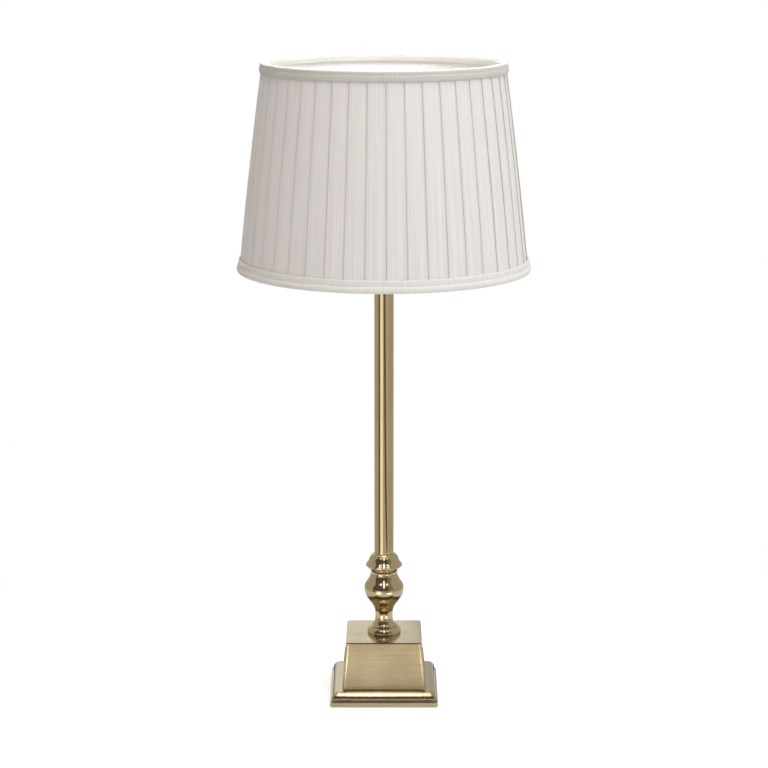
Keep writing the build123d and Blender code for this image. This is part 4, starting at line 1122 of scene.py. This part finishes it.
class LAMP_OT_holder_details(bpy.types.Operator):
    """Turns the threaded skirt and the ribbed ring nut of the lampholder"""

    bl_idname = "lamp.holder_details"
    bl_label = "Skirt and Ring Nut"

    def execute(self, context):
        make_skirt()
        make_ring_nut()
        return {"FINISHED"}


class LAMP_OT_push_buttons(bpy.types.Operator):
    """Turns the two buttons of the push bar"""

    bl_idname = "lamp.push_buttons"
    bl_label = "Push Buttons"

    def execute(self, context):
        make_buttons()
        return {"FINISHED"}


class LAMP_OT_stage(bpy.types.Operator):
    """Sets up the floor, room light, lamps, studio cards and camera"""

    bl_idname = "lamp.stage"
    bl_label = "Studio"

    def execute(self, context):
        studio = context.scene.lamp_studio
        make_world(studio)
        make_floor(studio.floor)
        lamps = (
            ("key lamp", studio.key, (1.4, 1.4), (1.25, -1.45, 1.35), (0, 0, 0.45)),
            ("top lamp", studio.top, (1.2, 1.2), (0.1, -0.2, 2.0), (0, 0, 0.0)),
            ("shade lamp", studio.inside, (0.16, 0.05), (0, -0.05, 0.95), (0, 0.12, 0.62)),
            ("back lamp", studio.back, (1.2, 0.8), (-0.50, 2.35, 0.72), (0, 0, 0.52)),
        )
        for name, power, size, place, target in lamps:
            lamp(name, power, size, place, target)
        make_cards()
        make_camera(studio)
        context.scene.view_settings.view_transform = "Standard"
        return {"FINISHED"}


class LAMP_PT_panel(bpy.types.Panel):
    """The lamp's pieces and settings"""

    bl_label = "Candlestick Lamp"
    bl_space_type = "VIEW_3D"
    bl_region_type = "UI"
    bl_category = "Lamp"

    def draw(self, context):
        for maker in MAKERS:
            self.layout.operator(maker.bl_idname)
        for group in SETTINGS.values():
            box = self.layout.box()
            owner = getattr(context.scene, group)
            for field in owner.bl_rna.properties:
                if field.identifier not in ("rna_type", "name"):
                    box.prop(owner, field.identifier)


MAKERS = (
    LAMP_OT_cad_finishes,
    LAMP_OT_pleated_cover,
    LAMP_OT_lining,
    LAMP_OT_bindings,
    LAMP_OT_felt_sole,
    LAMP_OT_holder_details,
    LAMP_OT_push_buttons,
    LAMP_OT_stage,
)
SETTINGS = {
    ShadeSettings: "lamp_shade",
    BrassSettings: "lamp_brass",
    HolderSettings: "lamp_holder",
    StudioSettings: "lamp_studio",
}


def register():
    """Registers the settings, the operators and the panel."""
    for group, name in SETTINGS.items():
        bpy.utils.register_class(group)
        setattr(bpy.types.Scene, name, PointerProperty(type=group))
    for maker in MAKERS:
        bpy.utils.register_class(maker)
    bpy.utils.register_class(LAMP_PT_panel)


def unregister():
    """Takes them out again."""
    bpy.utils.unregister_class(LAMP_PT_panel)
    for maker in reversed(MAKERS):
        bpy.utils.unregister_class(maker)
    for group, name in reversed(SETTINGS.items()):
        delattr(bpy.types.Scene, name)
        bpy.utils.unregister_class(group)


def main():
    """Makes every piece in order."""
    register()
    bpy.ops.lamp.cad_finishes()
    bpy.ops.lamp.pleated_cover()
    bpy.ops.lamp.lining()
    bpy.ops.lamp.bindings()
    bpy.ops.lamp.felt_sole()
    bpy.ops.lamp.holder_details()
    bpy.ops.lamp.push_buttons()
    bpy.ops.lamp.stage()
    deselect_all()


if __name__ == "__main__":
    main()
